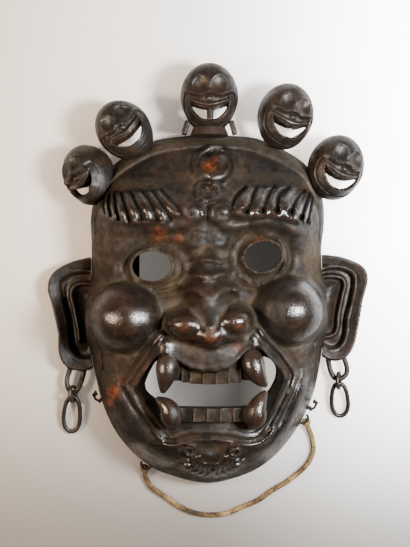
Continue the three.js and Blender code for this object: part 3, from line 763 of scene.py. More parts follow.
def relief_mesh(name, grid, scale, back, height_of):
    """A square grid wrapped onto the outline, raised to a height, and closed flat at the back."""
    shape = bmesh.new()
    bmesh.ops.create_grid(shape, x_segments=grid[0], y_segments=grid[1], size=1)
    rim = [edge for edge in shape.edges if edge.is_boundary]
    skirt = bmesh.ops.extrude_edge_only(shape, edges=rim)["geom"]
    for vert in skirt:
        if isinstance(vert, bmesh.types.BMVert):
            vert.co.z = -1
    bottom = [edge for edge in shape.edges if edge.is_boundary]
    bmesh.ops.contextual_create(shape, geom=bottom)
    bmesh.ops.recalc_face_normals(shape, faces=shape.faces[:])
    mesh = mesh_from_bmesh(name, shape)
    points = read_points(mesh)
    u, v, low = points[:, 0].copy(), points[:, 1].copy(), points[:, 2] < -0.5
    dx = u * np.sqrt(1 - v * v / 2)
    dy = v * np.sqrt(1 - u * u / 2)
    reach = np.clip(np.hypot(dx, dy), 0, 1)
    angle = np.arctan2(dy, dx)
    share = np.sin(reach * math.pi / 2) ** ROW_SPACING
    radius = outline_radius(angle) * share * scale
    x = radius * np.cos(angle)
    y = CENTRE_Y + radius * np.sin(angle)
    z = np.maximum(RIM_HEIGHT, height_of(x, y, share))
    z = np.where(share > 0.99999, RIM_HEIGHT, z)
    z = np.where(low, back, z)
    write_points(mesh, np.stack([x, y, z], axis=1))
    return mesh


def hollow_height(x, y, share):
    """The inside of the shell, which follows the dome and reaches up into the nose."""
    nose = 20 * bell(x / 1.1, 18) * bell(y + 42, 26)
    return dome(share, DOME_HEIGHT - WALL) + nose - 3


def prism(name, outline, low, high, low_scale=1.0, per_span=6):
    """A closed cutter between two heights through a smooth outline, tapered to its foot."""
    line = smooth_line(outline, per_span, closed=True)[:-1]
    middle = line.mean(axis=0)
    shape = bmesh.new()
    foot = [shape.verts.new((*(middle + (p - middle) * low_scale), low)) for p in line]
    face = shape.faces.new(foot)
    top = bmesh.ops.extrude_face_region(shape, geom=[face])["geom"]
    lifted = [item for item in top if isinstance(item, bmesh.types.BMVert)]
    for vert in lifted:
        flat = (Vector(vert.co.xy) - Vector(middle)) / low_scale + Vector(middle)
        vert.co = (flat.x, flat.y, high)
    bmesh.ops.recalc_face_normals(shape, faces=shape.faces[:])
    return mesh_from_bmesh(name, shape)


def boolean(piece, cutter_mesh, operation):
    """Cuts or joins a piece by a mesh and keeps the result as its mesh."""
    cutter = new_object("cutter", cutter_mesh)
    step = piece.modifiers.new("step", "BOOLEAN")
    step.operation = operation
    step.solver = "MANIFOLD"
    step.object = cutter
    bpy.context.view_layer.update()
    graph = bpy.context.evaluated_depsgraph_get()
    result = bpy.data.meshes.new_from_object(piece.evaluated_get(graph))
    piece.modifiers.clear()
    piece.data = result
    bpy.data.objects.remove(cutter)


EYE_POINTS = 24


def eye_outline(eye):
    """The tilted oval of an eye hole."""
    c, s = math.cos(eye["tilt"]), math.sin(eye["tilt"])
    points = []
    for i in range(EYE_POINTS):
        turn = 2 * math.pi * i / EYE_POINTS
        u, v = eye["rx"] * math.cos(turn), eye["ry"] * math.sin(turn)
        points.append((eye["x"] + u * c - v * s, eye["y"] + u * s + v * c))
    return points


MOUTH_GAP = [
    (-52.5, -99), (-49.5, -88), (-45, -79), (-40, -76), (-30, -90), (-22, -92.4), (-13.6, -93.4),
    (-3.2, -94.4), (7.6, -94.4), (17.6, -93.6), (28, -91), (36, -86), (44, -74), (50, -72.5),
    (57.5, -81), (57, -92), (50, -104), (40, -112.6), (30.5, -114.4), (4, -115.2), (-22.5, -114.6),
    (-34, -112), (-45, -107),
]
MOUTH_FLOOR = 67
CUT_BEHIND = -10
CUT_ABOVE = 160
FANG_SIDES = 24
FANG_RINGS = 22


def fang(name, points, root, full):
    """A fat fang: rings along a bent line, round at the root, fullest at a share of its length
    and drawn in to its tip."""
    line = smooth_line(points, 8)
    picks = np.linspace(0, len(line) - 1, FANG_RINGS + 1)
    places = np.arange(len(line))
    centres = np.stack([np.interp(picks, places, line[:, k]) for k in range(3)], axis=1)
    shape = bmesh.new()
    loops = []
    for i in range(FANG_RINGS):
        share = (i + 0.15) / FANG_RINGS
        direction = Vector(centres[i + 1] - centres[max(0, i - 1)]).normalized()
        side = direction.cross(Vector((0, 0, 1))).normalized()
        up = side.cross(direction)
        if share < full:
            radius = root * math.sqrt(1 - (1 - share / full) ** 2)
        else:
            radius = root * (1 - ((share - full) / (1 - full)) ** 1.9) ** 0.85
        turned = Matrix((side, up, direction)).transposed().to_4x4()
        turned.translation = Vector(centres[i])
        made = bmesh.ops.create_circle(shape, segments=FANG_SIDES, radius=radius, matrix=turned)
        loops.append(made["verts"])
    for first, second in zip(loops, loops[1:]):
        bmesh.ops.bridge_loops(shape, edges=loop_edges(first) + loop_edges(second))
    for end in (loops[0], loops[-1]):
        bmesh.ops.contextual_create(shape, geom=loop_edges(end))
    bmesh.ops.recalc_face_normals(shape, faces=shape.faces[:])
    return mesh_from_bmesh(name, shape)


def loop_edges(verts):
    """The edges of one ring of vertices."""
    ring = set(verts)
    edges = {edge for vert in verts for edge in vert.link_edges}
    return [edge for edge in edges if ring.issuperset(edge.verts)]


# Each fang's line from root to tip, its radius, and the share of its length where it is fullest.
FANGS = [
    ([(-31.5, -66, 70), (-32.4, -77, 77), (-34, -88, 79), (-37.2, -103.4, 76)], 9.5, 0.42),
    ([(35.5, -64, 70), (37.2, -75, 78), (41, -86, 80), (50.2, -97.2, 77)], 9.5, 0.4),
    ([(-27.6, -130, 71), (-29.6, -120, 76), (-33.2, -111.6, 77), (-43.6, -104.2, 74)], 9.2, 0.36),
    ([(38.6, -130, 71), (39.6, -120, 76), (42, -110.6, 77), (49.8, -97.4, 74)], 9.6, 0.36),
]


TOOTH_DEPTH = 14
TOOTH_Z = 65.8
RIB_Z = 67.3
RIB = 1.5


def tooth(name, left, right, top, bottom, z):
    shape = bmesh.new()
    bmesh.ops.create_cube(shape, size=1)
    place = ((left + right) / 2, (top + bottom) / 2, z)
    size = (right - left, top - bottom, TOOTH_DEPTH)
    for vert in shape.verts:
        vert.co = [place[k] + vert.co[k] * size[k] for k in range(3)]
    bmesh.ops.bevel(
        shape, geom=shape.edges[:], offset=0.5, offset_type="OFFSET", segments=2,
        profile=0.5, affect="EDGES", material=-1,
    )
    return mesh_from_bmesh(name, shape)


UPPER_TEETH = [-30, -20.8, -13.7, -3.3, 7.6, 17.6, 27.9, 37]
LOWER_TEETH = [-31, -22.7, -10.9, 0.1, 11, 21.9, 31.2, 38]
# Each row's tooth edges, top, foot, and how far it bows up at the sides.
TOOTH_ROWS = [(UPPER_TEETH, -76, -94.6, 3.4), (LOWER_TEETH, -114.2, -126, 0.6)]


def teeth():
    """Two flat bands of square teeth, with a thin raised rib between neighbours."""
    for edges, top, foot, bow in TOOTH_ROWS:
        for left, right in zip(edges, edges[1:]):
            lift = bow * (((left + right) / 2 - NOSE_X) / 30) ** 2
            yield tooth("tooth", left - 0.3, right + 0.3, top + lift, foot + lift, TOOTH_Z)
        for edge in edges[1:-1]:
            lift = bow * ((edge - NOSE_X) / 30) ** 2
            left, right = edge - RIB / 2, edge + RIB / 2
            yield tooth("rib", left, right, top + lift, foot + lift + 0.4, RIB_Z)


# ---------- wear, dust and painted shade: attributes that the materials read ---
def read_values(mesh, name):
    values = np.empty(len(mesh.vertices))
    mesh.attributes[name].data.foreach_get("value", values)
    return values


def store_values(mesh, name, values):
    layer = mesh.attributes.get(name) or mesh.attributes.new(name, "FLOAT", "POINT")
    layer.data.foreach_set("value", values)


def edge_links(mesh):
    """Both ends of every edge, and how many edges meet at each point."""
    ends = np.empty(len(mesh.edges) * 2, dtype=int)
    mesh.edges.foreach_get("vertices", ends)
    first, second = ends.reshape(-1, 2).T
    count = np.bincount(ends, minlength=len(mesh.vertices)).astype(float)
    return first, second, np.maximum(count, 1)


def neighbour_mean(values, links):
    """The mean of each point's neighbours."""
    first, second, count = links
    total = np.bincount(first, values[second], len(values))
    return (total + np.bincount(second, values[first], len(values))) / count


def mean_points(points, links):
    return np.stack([neighbour_mean(points[:, axis], links) for axis in range(3)], axis=1)


def smooth_points(mesh, rounds, strength):
    """Eases the surface by moving each point towards its neighbours' middle."""
    points = read_points(mesh)
    links = edge_links(mesh)
    for _ in range(rounds):
        points = points + (mean_points(points, links) - points) * strength
    write_points(mesh, points)


# How many times the surface is eased to find fine cuts and broad hollows, and the depth in
# millimetres that counts as full for each.
FINE_ROUNDS = 6
FINE_DEPTH = 1.0
BROAD_ROUNDS = 40
BROAD_DEPTH = 3.0


def depth_attributes(mesh):
    """Stores how far each point lies below (dust) or above (worn) the eased surface round it,
    and where it lies deep in a fine cut, as painted shade."""
    points = read_points(mesh)
    normals = np.empty(len(points) * 3)
    mesh.vertex_normals.foreach_get("vector", normals)
    normals = normals.reshape(-1, 3)
    links = edge_links(mesh)
    eased = points
    offsets = []
    for rounds in (FINE_ROUNDS, BROAD_ROUNDS - FINE_ROUNDS):
        for _ in range(rounds):
            eased = 0.3 * eased + 0.7 * mean_points(eased, links)
        offsets.append(np.einsum("ij,ij->i", points - eased, normals))
    fine, broad = offsets
    level = np.clip(fine / FINE_DEPTH, -1.5, 1.5) / 2 + np.clip(broad / BROAD_DEPTH, -1.5, 1.5) / 2
    for _ in range(2):
        level = 0.5 * level + 0.5 * neighbour_mean(level, links)
    store_values(mesh, "dust", np.clip(-level, 0, 1))
    store_values(mesh, "worn", np.clip(level, 0, 1))
    # painted shade: near black deep in the fine cuts
    store_values(mesh, "painted_shade", 0.55 * np.clip(-fine * 2.0 - 0.5, 0, 1))


# Where the dark coat is rubbed through to orange wood: middle, half width and strength.
RUB_SPOTS = [
    (1.5, 88.4, 8.0, 0.8), (7, 95, 5, 0.65), (0, 65, 5, 0.6), (3, -54, 12, 0.45),
    (-20, -46, 10, 0.42), (26, -46, 9, 0.42), (3, -20, 9, 0.35), (25, -62, 6, 0.75),
    (-40, 29, 11, 0.6), (-24, 27, 8, 0.55), (-30, 24, 7, 0.4), (-80, -103, 8, 0.95),
    (-84, -113, 6, 0.8), (35, 70, 5, 0.4), (-62, -49, 15, 0.34), (61, -60, 4, 0.45),
    (62, 88, 10, 0.3), (-52, -82, 9, 0.45), (-60, -93, 7, 0.45), (-84, 6, 8, 0.35),
    (43, 24, 10, 0.5), (-72, -92, 8, 0.5), (-66, -84, 6, 0.4), (30, -163, 10, 0.32),
    (-22, -166, 9, 0.32), (6, 172, 7, 0.4),
]
# Where dust lies thick on open ground as well as in the cuts: middle, half widths and depth.
DUST_SPOTS = [
    (-33, -20, 9, 14, 0.45), (38, -17, 9, 14, 0.45), (-90, 12, 11, 24, 0.4), (92, 12, 12, 26, 0.5),
    (-62, 74, 26, 5, 0.42), (-86, 76, 10, 8, 0.42), (52, 78, 34, 5, 0.25), (88, 75, 10, 8, 0.35),
    (-46, 2, 29, 20, 0.28), (46, 10, 28, 22, 0.28), (2, -70, 26, 7, 0.12), (-20, 75, 12, 8, 0.22),
    (22, 72, 8, 9, 0.22), (0, 12, 20, 8, 0.2), (-86, -82, 12, 20, 0.15), (86, -74, 10, 20, 0.15),
]


def rub_attribute(mesh):
    """Marks the places where the dark coat is rubbed through to the orange wood."""
    points = read_points(mesh)
    values = np.zeros(len(points))
    for x, y, size, amount in RUB_SPOTS:
        away = np.hypot(points[:, 0] - x, points[:, 1] - y)
        values = np.maximum(values, amount * rise(size * 1.4, size * 0.2, away))
    store_values(mesh, "rubbed", values)


# Where handling has polished the face: middle, half widths.
POLISH_SPOTS = [
    (-62, -41, 28, 27), (80, -34.5, 18, 27), (4.6, -166, 26, 14), (-18.4, -43.6, 16, 12),
    (23, -40.6, 15, 13), (3, -52, 12, 10), (-33, -92, 10, 16), (42, -86, 12, 18),
    (-34, -116, 10, 14), (43, -114, 10, 14), (62, -146, 26, 20), (-46, -158, 22, 12),
    (80, -112, 14, 26), (56, 56, 34, 14), (-56, 54, 34, 13), (6, 89, 16, 15), (0, 64, 10, 10),
    (-38, -62, 10, 9), (41, -57, 10, 9), (20, 47, 5, 6), (-4, 49, 5, 6), (-36, -150, 14, 10),
    (50, -138, 14, 12),
]


def polish_attribute(mesh):
    """Marks the parts of the face that are handled smooth."""
    points = read_points(mesh)
    values = np.zeros(len(points))
    for x, y, rx, ry in POLISH_SPOTS:
        away = np.hypot((points[:, 0] - x) / rx, (points[:, 1] - y) / ry)
        values = np.maximum(values, rise(1.3, 0.8, away))
    store_values(mesh, "polish", values)


def lay_dust(mesh):
    """Adds the open dusty grounds of the face to the dust in its cuts, and paints shade into the brow
    cuts and onto the flat teeth.
    """
    x, y, z = read_points(mesh).T
    share = np.hypot(x, y - CENTRE_Y) / outline_radius(np.arctan2(y - CENTRE_Y, x))
    values = 0.6 * rise(0.9, 0.93, share) * rise(30, 70, y)
    for cx, cy, rx, ry, amount in DUST_SPOTS:
        away = np.hypot((x - cx) / rx, (y - cy) / ry)
        values = np.maximum(values, amount * rise(1.35, 0.55, away))
    for edges, low, high in ((UPPER_TEETH, -96, -76), (LOWER_TEETH, -127, -113)):
        on_row = (y > low) & (y < high) & (z > 66)
        for edge in edges[1:-1]:
            values = np.maximum(values, bell(x - edge, 1.4) * on_row)
    dust = read_values(mesh, "dust")
    worn = read_values(mesh, "worn")
    painted_shade = read_values(mesh, "painted_shade")
    # the flat teeth and the muzzle are wiped nearly clean
    rows = (y > -96) & (y < -80) | (y > -127) & (y < -112)
    panels = rows & (np.abs(x - NOSE_X) < 34) & (z > 64)
    dust = np.where(panels, dust * 0.25, dust)
    dust = dust * (1 - 0.9 * bell(np.hypot((x - 2) / 27, (y + 70) / 13), 1))
    dust = dust + values * (1 - np.clip(worn * 1.6, 0, 0.8))
    # painted shade: the cuts between the brow locks go near black; the nose valleys and the frown line take dust and
    # no shade
    for line in RIGHT_CUTS + LEFT_CUTS:
        near, _ = near_line(x, y, smooth_line(line), 4)
        painted_shade = np.maximum(painted_shade, 0.9 * rise(2.0, 0.6, near))
    for line in NOSE_VALLEYS + [FROWN_LINE]:
        near, _ = near_line(x, y, smooth_line(line), 4)
        dust = np.maximum(dust, rise(1.9, 0.6, near))
        painted_shade = np.where(near < 2.2, 0, painted_shade)
    for eye in EYES:
        rim = rise(1.6, 0.6, np.abs(hole_edge(eye, x, y) - 0.6))
        dust = np.maximum(dust, 0.8 * rim * (z > 40))
    # painted shade on the flat teeth, except beside their ribs
    store_values(mesh, "painted_shade", np.where(panels, np.maximum(painted_shade, 0.5 - values), painted_shade))
    store_values(mesh, "dust", np.clip(dust, 0, 1))


def shade_mouth(mesh):
    """Paints shade into the deep recess of the mouth beside and behind the fangs."""
    x, y, z = read_points(mesh).T
    depth = rise(0.0, 3.0, inside(x, y, LIP_EDGE)) * rise(76, 68, z)
    depth = depth * np.maximum(rise(30, 40, np.abs(x - NOSE_X)), 0.45)
    store_values(mesh, "painted_shade", np.maximum(read_values(mesh, "painted_shade"), depth * 0.85))


def finish_mesh(piece, sharp=50):
    """Shades a piece smooth, with true edges where it turns by more than the sharp angle."""
    mesh = piece.data
    mesh.shade_smooth()
    mesh.set_sharp_from_angle(angle=math.radians(sharp))


def finish_small_wood(piece, dust, polish, sharp=50):
    """Wears a small piece, which is wiped and polished evenly all over, paints shade into its fine
    cuts, and sets it in place.
    """
    mesh = piece.data
    depth_attributes(mesh)
    store_values(mesh, "dust", read_values(mesh, "dust") * dust)
    store_values(mesh, "polish", np.full(len(mesh.vertices), polish))
    rub_attribute(mesh)
    to_frame(mesh)
    finish_mesh(piece, sharp)


def build_mask():
    """The carved shell, hollowed from behind and cut through at the mouth and the eyes."""
    piece = new_object("carved_face", relief_mesh("carved_face", CARVED_GRID, 1, 0, face_height))
    boolean(piece, relief_mesh("hollow", PLAIN_GRID, RIM_SCALE, -5, hollow_height), "DIFFERENCE")
    boolean(piece, prism("mouth", LIP_EDGE, MOUTH_FLOOR, CUT_ABOVE, 0.97), "DIFFERENCE")
    boolean(piece, prism("gap", MOUTH_GAP, CUT_BEHIND, CUT_ABOVE), "DIFFERENCE")
    for eye in EYES:
        hole = prism("eye", eye_outline(eye), CUT_BEHIND, CUT_ABOVE, per_span=3)
        boolean(piece, hole, "DIFFERENCE")
    for cutter in teeth():
        boolean(piece, cutter, "UNION")
    for points, root, full in FANGS:
        boolean(piece, fang("fang", points, root, full), "UNION")
    smooth_points(piece.data, 2, 0.35)
    depth_attributes(piece.data)
    lay_dust(piece.data)
    shade_mouth(piece.data)
    polish_attribute(piece.data)
    rub_attribute(piece.data)
    to_frame(piece.data)
    finish_mesh(piece)
    return piece


# ---------- colours and materials ----------
def colour(text):
    """An sRGB hex colour as linear RGBA."""
    parts = [int(text[i:i + 2], 16) / 255 for i in (1, 3, 5)]
    linear = [c / 12.92 if c <= 0.04045 else ((c + 0.055) / 1.055) ** 2.4 for c in parts]
    return (*linear, 1)


def add(material, kind, links=None, **settings):
    """Adds one node, sets its inputs or properties, and links its inputs."""
    node = material.node_tree.nodes.new(kind)
    for key, value in settings.items():
        if key in node.inputs:
            node.inputs[key].default_value = value
        elif key.isdigit():
            node.inputs[int(key)].default_value = value
        else:
            setattr(node, key, value)
    for key, source in (links or {}).items():
        target = node.inputs[int(key)] if str(key).isdigit() else node.inputs[key]
        material.node_tree.links.new(source, target)
    return node


def new_material(name):
    material = bpy.data.materials.new(name)
    material.use_nodes = True
    material.node_tree.nodes.clear()
    return material


def ramp(material, source, stops):
    """A colour ramp from its stops, each a place and a colour or a grey value."""
    node = add(material, "ShaderNodeValToRGB", {"Fac": source})
    elements = node.color_ramp.elements
    while len(elements) < len(stops):
        elements.new(0.5)
    for element, (place, shade) in zip(elements, stops):
        element.position = place
        element.color = shade if not isinstance(shade, float) else (shade, shade, shade, 1)
    return node.outputs["Color"]


def mix(material, factor, first, second, blend="MIX"):
    """A mix of two colours, each of them and the factor either a value or a socket."""
    node = add(material, "ShaderNodeMix", data_type="RGBA", blend_type=blend)
    tree = material.node_tree
    for index, value in ((0, factor), (6, first), (7, second)):
        if hasattr(value, "links"):
            tree.links.new(value, node.inputs[index])
        else:
            node.inputs[index].default_value = value
    return node.outputs[2]


def stained_wood():
    """Hardwood stained nearly black, waxed and handled: glossy where hands have polished it,
    browner on the high parts, dull and dusty in the cuts, rubbed to orange wood in places, with
    painted shade near black and without reflection deep in the fine cuts and the mouth's recess."""
    m = new_material("stained_waxed_wood")
    place = add(m, "ShaderNodeTexCoord").outputs["Object"]
    dust = add(m, "ShaderNodeAttribute", attribute_name="dust").outputs["Fac"]
    worn = add(m, "ShaderNodeAttribute", attribute_name="worn").outputs["Fac"]
    rubbed = add(m, "ShaderNodeAttribute", attribute_name="rubbed").outputs["Fac"]
    broad = add(m, "ShaderNodeTexNoise", {"Vector": place}, Scale=24, Detail=5, Roughness=0.62)
    spots = add(m, "ShaderNodeTexNoise", {"Vector": place}, Scale=150, Detail=7, Roughness=0.7)
    blots = add(m, "ShaderNodeTexNoise", {"Vector": place}, Scale=95, Detail=9, Roughness=0.78)
    fine = add(m, "ShaderNodeTexNoise", {"Vector": place}, Scale=900, Detail=4, Roughness=0.65)
    base = ramp(m, broad.outputs["Fac"], [
        (0.3, colour("#0b0907")), (0.48, colour("#14100c")), (0.6, colour("#1f150e")),
        (0.7, colour("#19140f")),
    ])
    speck = ramp(m, spots.outputs["Fac"], [(0.34, 0.45), (0.5, 0.95), (0.66, 1.9)])
    base = mix(m, 1.0, base, speck, "MULTIPLY")
    high = add(m, "ShaderNodeMath", {0: worn}, operation="MULTIPLY", **{"1": 0.4}).outputs[0]
    base = mix(m, high, base, colour("#2a1b12"))
    dusty = add(m, "ShaderNodeMath", {0: dust, 1: spots.outputs["Fac"]},
                operation="MULTIPLY").outputs[0]
    dusty = add(m, "ShaderNodeMath", {0: dusty}, operation="MULTIPLY", use_clamp=True,
                **{"1": 1.9}).outputs[0]
    grime = ramp(m, broad.outputs["Fac"], [(0.35, colour("#2a2117")), (0.65, colour("#3e3323"))])
    base = mix(m, dusty, base, grime)
    torn = add(m, "ShaderNodeTexNoise", {"Vector": place}, Scale=230, Detail=8, Roughness=0.75)
    patch = add(m, "ShaderNodeMath", {0: rubbed, 1: torn.outputs["Fac"]},
                operation="MULTIPLY").outputs[0]
    patch = ramp(m, patch, [(0.16, 0.0), (0.42, 0.85)])
    bare_wood = ramp(m, torn.outputs["Fac"], [
        (0.4, colour("#34160a")), (0.55, colour("#5a2c12")), (0.68, colour("#6a4828")),
    ])
    base = mix(m, patch, base, bare_wood)
    # painted shade: near black and without reflection deep in the fine cuts, the brow cuts and the mouth's recess
    painted_shade = add(m, "ShaderNodeAttribute", attribute_name="painted_shade").outputs["Fac"]
    base = mix(m, painted_shade, base, colour("#060504"))
    polish = add(m, "ShaderNodeAttribute", attribute_name="polish").outputs["Fac"]
    satin = add(m, "ShaderNodeMapRange", {"Value": polish},
                **{"To Min": 0.42, "To Max": 0.1}).outputs[0]
    rough = add(m, "ShaderNodeMapRange", {"Value": dusty, "To Min": satin},
                **{"To Max": 0.75}).outputs[0]
    wobble = add(m, "ShaderNodeMapRange", {"Value": blots.outputs["Fac"]},
                 **{"From Min": 0.35, "From Max": 0.65, "To Min": 0.24, "To Max": 0.02}).outputs[0]
    rough = add(m, "ShaderNodeMath", {0: rough, 1: wobble}, operation="ADD").outputs[0]
    rough = add(m, "ShaderNodeMath", {0: rough, 1: painted_shade}, operation="MAXIMUM").outputs[0]
    bump = add(m, "ShaderNodeBump", {"Height": spots.outputs["Fac"]}, Strength=0.5, Distance=0.0011)
    grain = add(m, "ShaderNodeMapping", {"Vector": place}, Scale=(1, 0.12, 0.4))
    strokes = add(m, "ShaderNodeTexNoise", {"Vector": grain.outputs[0]}, Scale=520, Detail=5,
                  Roughness=0.6)
    bump = add(m, "ShaderNodeBump", {"Height": strokes.outputs["Fac"], "Normal": bump.outputs[0]},
               Strength=0.5, Distance=0.0004)
    bump = add(m, "ShaderNodeBump", {"Height": fine.outputs["Fac"], "Normal": bump.outputs[0]},
               Strength=0.35, Distance=0.0002)
    sheen = add(m, "ShaderNodeMapRange", {"Value": polish},
                **{"To Min": 0.24, "To Max": 0.62}).outputs[0]
    patchy = add(m, "ShaderNodeMapRange", {"Value": blots.outputs["Fac"]},
                 **{"From Min": 0.36, "From Max": 0.62, "To Min": 0.35, "To Max": 1.35}).outputs[0]
    sheen = add(m, "ShaderNodeMath", {0: sheen, 1: patchy}, operation="MULTIPLY").outputs[0]
    sheen = add(m, "ShaderNodeMapRange", {"Value": painted_shade, "To Min": sheen},
                **{"To Max": 0.0}).outputs[0]
    shader = add(m, "ShaderNodeBsdfPrincipled", {
        "Base Color": base, "Roughness": rough, "Normal": bump.outputs[0],
        "Specular IOR Level": sheen,
    })
    add(m, "ShaderNodeOutputMaterial", {"Surface": shader.outputs[0]})
    return m


def floor_paper():
    """A matt paper sweep with painted light: it glows though it is no lamp, far stronger to the camera:
    white to the right. Its colour is painted darker to the left and the bottom, and painted shadows
    fall beside what stands on it.
    """
    m = new_material("pale_paper_with_painted_light")
    place = add(m, "ShaderNodeTexCoord").outputs["Object"]
    split = add(m, "ShaderNodeSeparateXYZ", {"Vector": place})
    up = add(m, "ShaderNodeMapRange", {"Value": split.outputs["Y"]},
             interpolation_type="SMOOTHSTEP", **{"From Min": -0.26, "From Max": 0.06}).outputs[0]
    across = add(m, "ShaderNodeMapRange", {"Value": split.outputs["X"]},
                 **{"From Min": -0.2, "From Max": 0.2}).outputs[0]
    # painted light: the paper's colour is darker to the left and the bottom and white to the top right
    left = mix(m, up, colour("#5a5249"), colour("#aca295"))
    right = mix(m, up, colour("#474542"), colour("#f4f5f5"))
    base = mix(m, across, left, right)
    flat = add(m, "ShaderNodeMapping", {"Vector": place}, Scale=(11.5, 7.4, 0),
               Location=(0, 0.2, 0))
    away = add(m, "ShaderNodeVectorMath", {0: flat.outputs[0]}, operation="LENGTH").outputs["Value"]
    open_air = add(m, "ShaderNodeMapRange", {"Value": away}, interpolation_type="SMOOTHSTEP",
                   **{"From Min": 0.85, "From Max": 1.15}).outputs[0]
    # painted light and shade on the ground under the hollow face, seen through the holes: its own colour
    # is near black and it glows only as painted, least behind the right eye, most at the corners of the
    # mouth, none along the far left, where a black strip is painted
    under = add(m, "ShaderNodeMapRange", {"Value": split.outputs["X"]},
                **{"From Min": -0.07, "From Max": 0.07}).outputs[0]
    mouth = ramp(m, under, [
        (0.11, 0.75), (0.18, 0.46), (0.28, 0.29), (0.5, 0.14), (0.7, 0.08), (0.84, 0.17),
        (0.87, 0.8),
    ])
    eyes = ramp(m, under, [(0.06, 0.0), (0.065, 0.16), (0.25, 0.14), (0.5, 0.1), (0.7, 0.045)])
    upper = add(m, "ShaderNodeMath", {0: split.outputs["Y"]}, operation="GREATER_THAN",
                **{"1": -0.04}).outputs[0]
    through = mix(m, 1.0, mix(m, upper, mouth, eyes), (1.06, 1.0, 0.92, 1), "MULTIPLY")
    # painted light: the paper glows though it is no lamp, dimly to all other rays, so that it lights the hollow from
    # below, and far more to the camera, rising to the right
    seen = add(m, "ShaderNodeLightPath").outputs["Is Camera Ray"]
    painted_light_strength = add(m, "ShaderNodeMapRange", {"Value": across}, interpolation_type="SMOOTHSTEP",
                 **{"From Min": 0.45, "From Max": 1.0, "To Min": 1.5, "To Max": 9.0}).outputs[0]
    spread = mix(m, seen, (0.38, 0.38, 0.38, 1), painted_light_strength)
    spread = add(m, "ShaderNodeSeparateColor", {"Color": spread}).outputs[0]
    glow = add(m, "ShaderNodeMapRange", {"Value": open_air, "To Max": spread},
               **{"To Min": 1.0}).outputs[0]
    # painted soft shadows: an occlusion term with its hemisphere tilted to the right darkens the paper's
    # glow to the left of whatever stands on it
    side = add(m, "ShaderNodeCombineXYZ", X=0.8, Y=-0.25, Z=0.55).outputs[0]
    painted_shadow_ao = add(m, "ShaderNodeAmbientOcclusion", {"Normal": side}, samples=6, Distance=0.09)
    shadow = ramp(m, painted_shadow_ao.outputs["AO"], [
        (0.25, colour("#75665c")), (0.62, colour("#cbc2bb")), (0.9, colour("#ffffff")),
    ])
    paper_with_painted_light_and_shadow = mix(m, 1.0, base, shadow, "MULTIPLY")
    tint = mix(m, open_air, through, paper_with_painted_light_and_shadow)
    # painted shade: under the face the paper's own colour is near black, so only the painted light shows through the
    # holes
    ground = mix(m, open_air, colour("#0c0b0b"), base)
    shader = add(m, "ShaderNodeBsdfPrincipled", {
        "Base Color": ground, "Emission Color": tint, "Emission Strength": glow,
    }, Roughness=0.9)
    add(m, "ShaderNodeOutputMaterial", {"Surface": shader.outputs[0]})
    return m


def dress(piece, material, slot, node):
    """Gives a finished piece its material and says which solid it stands for."""
    piece.data.materials.clear()
    piece.data.materials.append(material)
    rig.ride(piece, "root")
    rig.replaces(piece, node)
    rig.slot(piece, slot)


# ---------- floor and lights ----------
FLOOR_HALF = 3
FLOOR_GAP = 0.0003
LIT_POINT = Vector((0, 0, 0.03))


def make_floor():
    shape = bmesh.new()
    bmesh.ops.create_grid(shape, x_segments=1, y_segments=1, size=FLOOR_HALF)
    floor = new_object("floor", mesh_from_bmesh("floor", shape))
    floor.location.z = -FLOOR_GAP
    floor.data.materials.append(floor_paper())
    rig.stage(floor)


def area_light(name, place, size, power, tint):
    data = bpy.data.lights.new(name, "AREA")
    data.shape = "RECTANGLE"
    data.size, data.size_y = size
    data.energy = power
    data.color = colour(tint)[:3]
    light = bpy.data.objects.new(name, data)
    light.location = place
    aim = LIT_POINT - Vector(place)
    light.rotation_euler = aim.to_track_quat("-Z", "Y").to_euler()
    bpy.context.scene.collection.objects.link(light)


def make_lights():
    area_light("key_softbox", (0.42, 0.03, 0.62), (0.16, 0.18), 26, "#f8f9fb")
    area_light("fill_softbox", (-0.6, 0.0, 0.55), (0.11, 0.13), 11, "#ffe2c4")
    area_light("top_sheet", (0.1, 0.9, 1.3), (1.2, 0.8), 2, "#ffffff")
    world_light = bpy.data.worlds.new("room")
    bpy.context.scene.world = world_light
    world_light.use_nodes = True
    back = world_light.node_tree.nodes["Background"]
    back.inputs["Color"].default_value = colour("#e8e6e4")
    back.inputs["Strength"].default_value = 0.05


# ---------- skulls ----------
SKULL_WIDTH = 49
SKULL_HEIGHT = 59
SKULL_FRONT = 21.2
SKULL_REAR = 18.6
SKULL_GRID = 104
# Each skull is turned in its own plane by roll, then leans to the crown, then faces sideways.
SKULLS = [
    {"name": "skull_centre", "at": (2, 149.5, 33), "roll": 0, "lean": -3, "face": 0, "size": 1.02},
    {"name": "skull_left_inner", "at": (-72, 121.5, 33), "roll": 41, "lean": -11, "face": -9,
     "size": 0.95},
    {"name": "skull_left_outer", "at": (-104, 83, 27), "roll": 30, "lean": 3, "face": -43,
     "size": 0.93},
    {"name": "skull_right_inner", "at": (68.5, 133.5, 32), "roll": -14, "lean": -3, "face": 19,
     "size": 0.98},
    {"name": "skull_right_outer", "at": (112.5, 89.5, 29), "roll": -20, "lean": -3, "face": 21,
     "size": 0.98},
]
# The open grin, seen square on, and how far it stands in front of the skull's middle.
GRIN_FRONT = 13
GRIN = [
    (-15.6, -7.6), (-8, -10.8), (0, -12.4), (8, -10.8), (15.6, -7.6), (13.6, -12.6), (9.6, -17.2),
    (4.6, -20.4), (-4.6, -20.4), (-9.6, -17.2), (-13.6, -12.6),
]


def egg_radius(angle):
    """A skull's outline: round above and a little narrower at the chin."""
    c, s = np.cos(angle), np.sin(angle)
    jaw = rise(0.0, -1.0, s)
    across = SKULL_WIDTH / 2 * (1 - 0.08 * jaw)
    power = 2.0 + 0.2 * jaw
    along = SKULL_HEIGHT / 2
    return (np.abs(c / across) ** power + np.abs(s / along) ** power) ** (-1 / power)


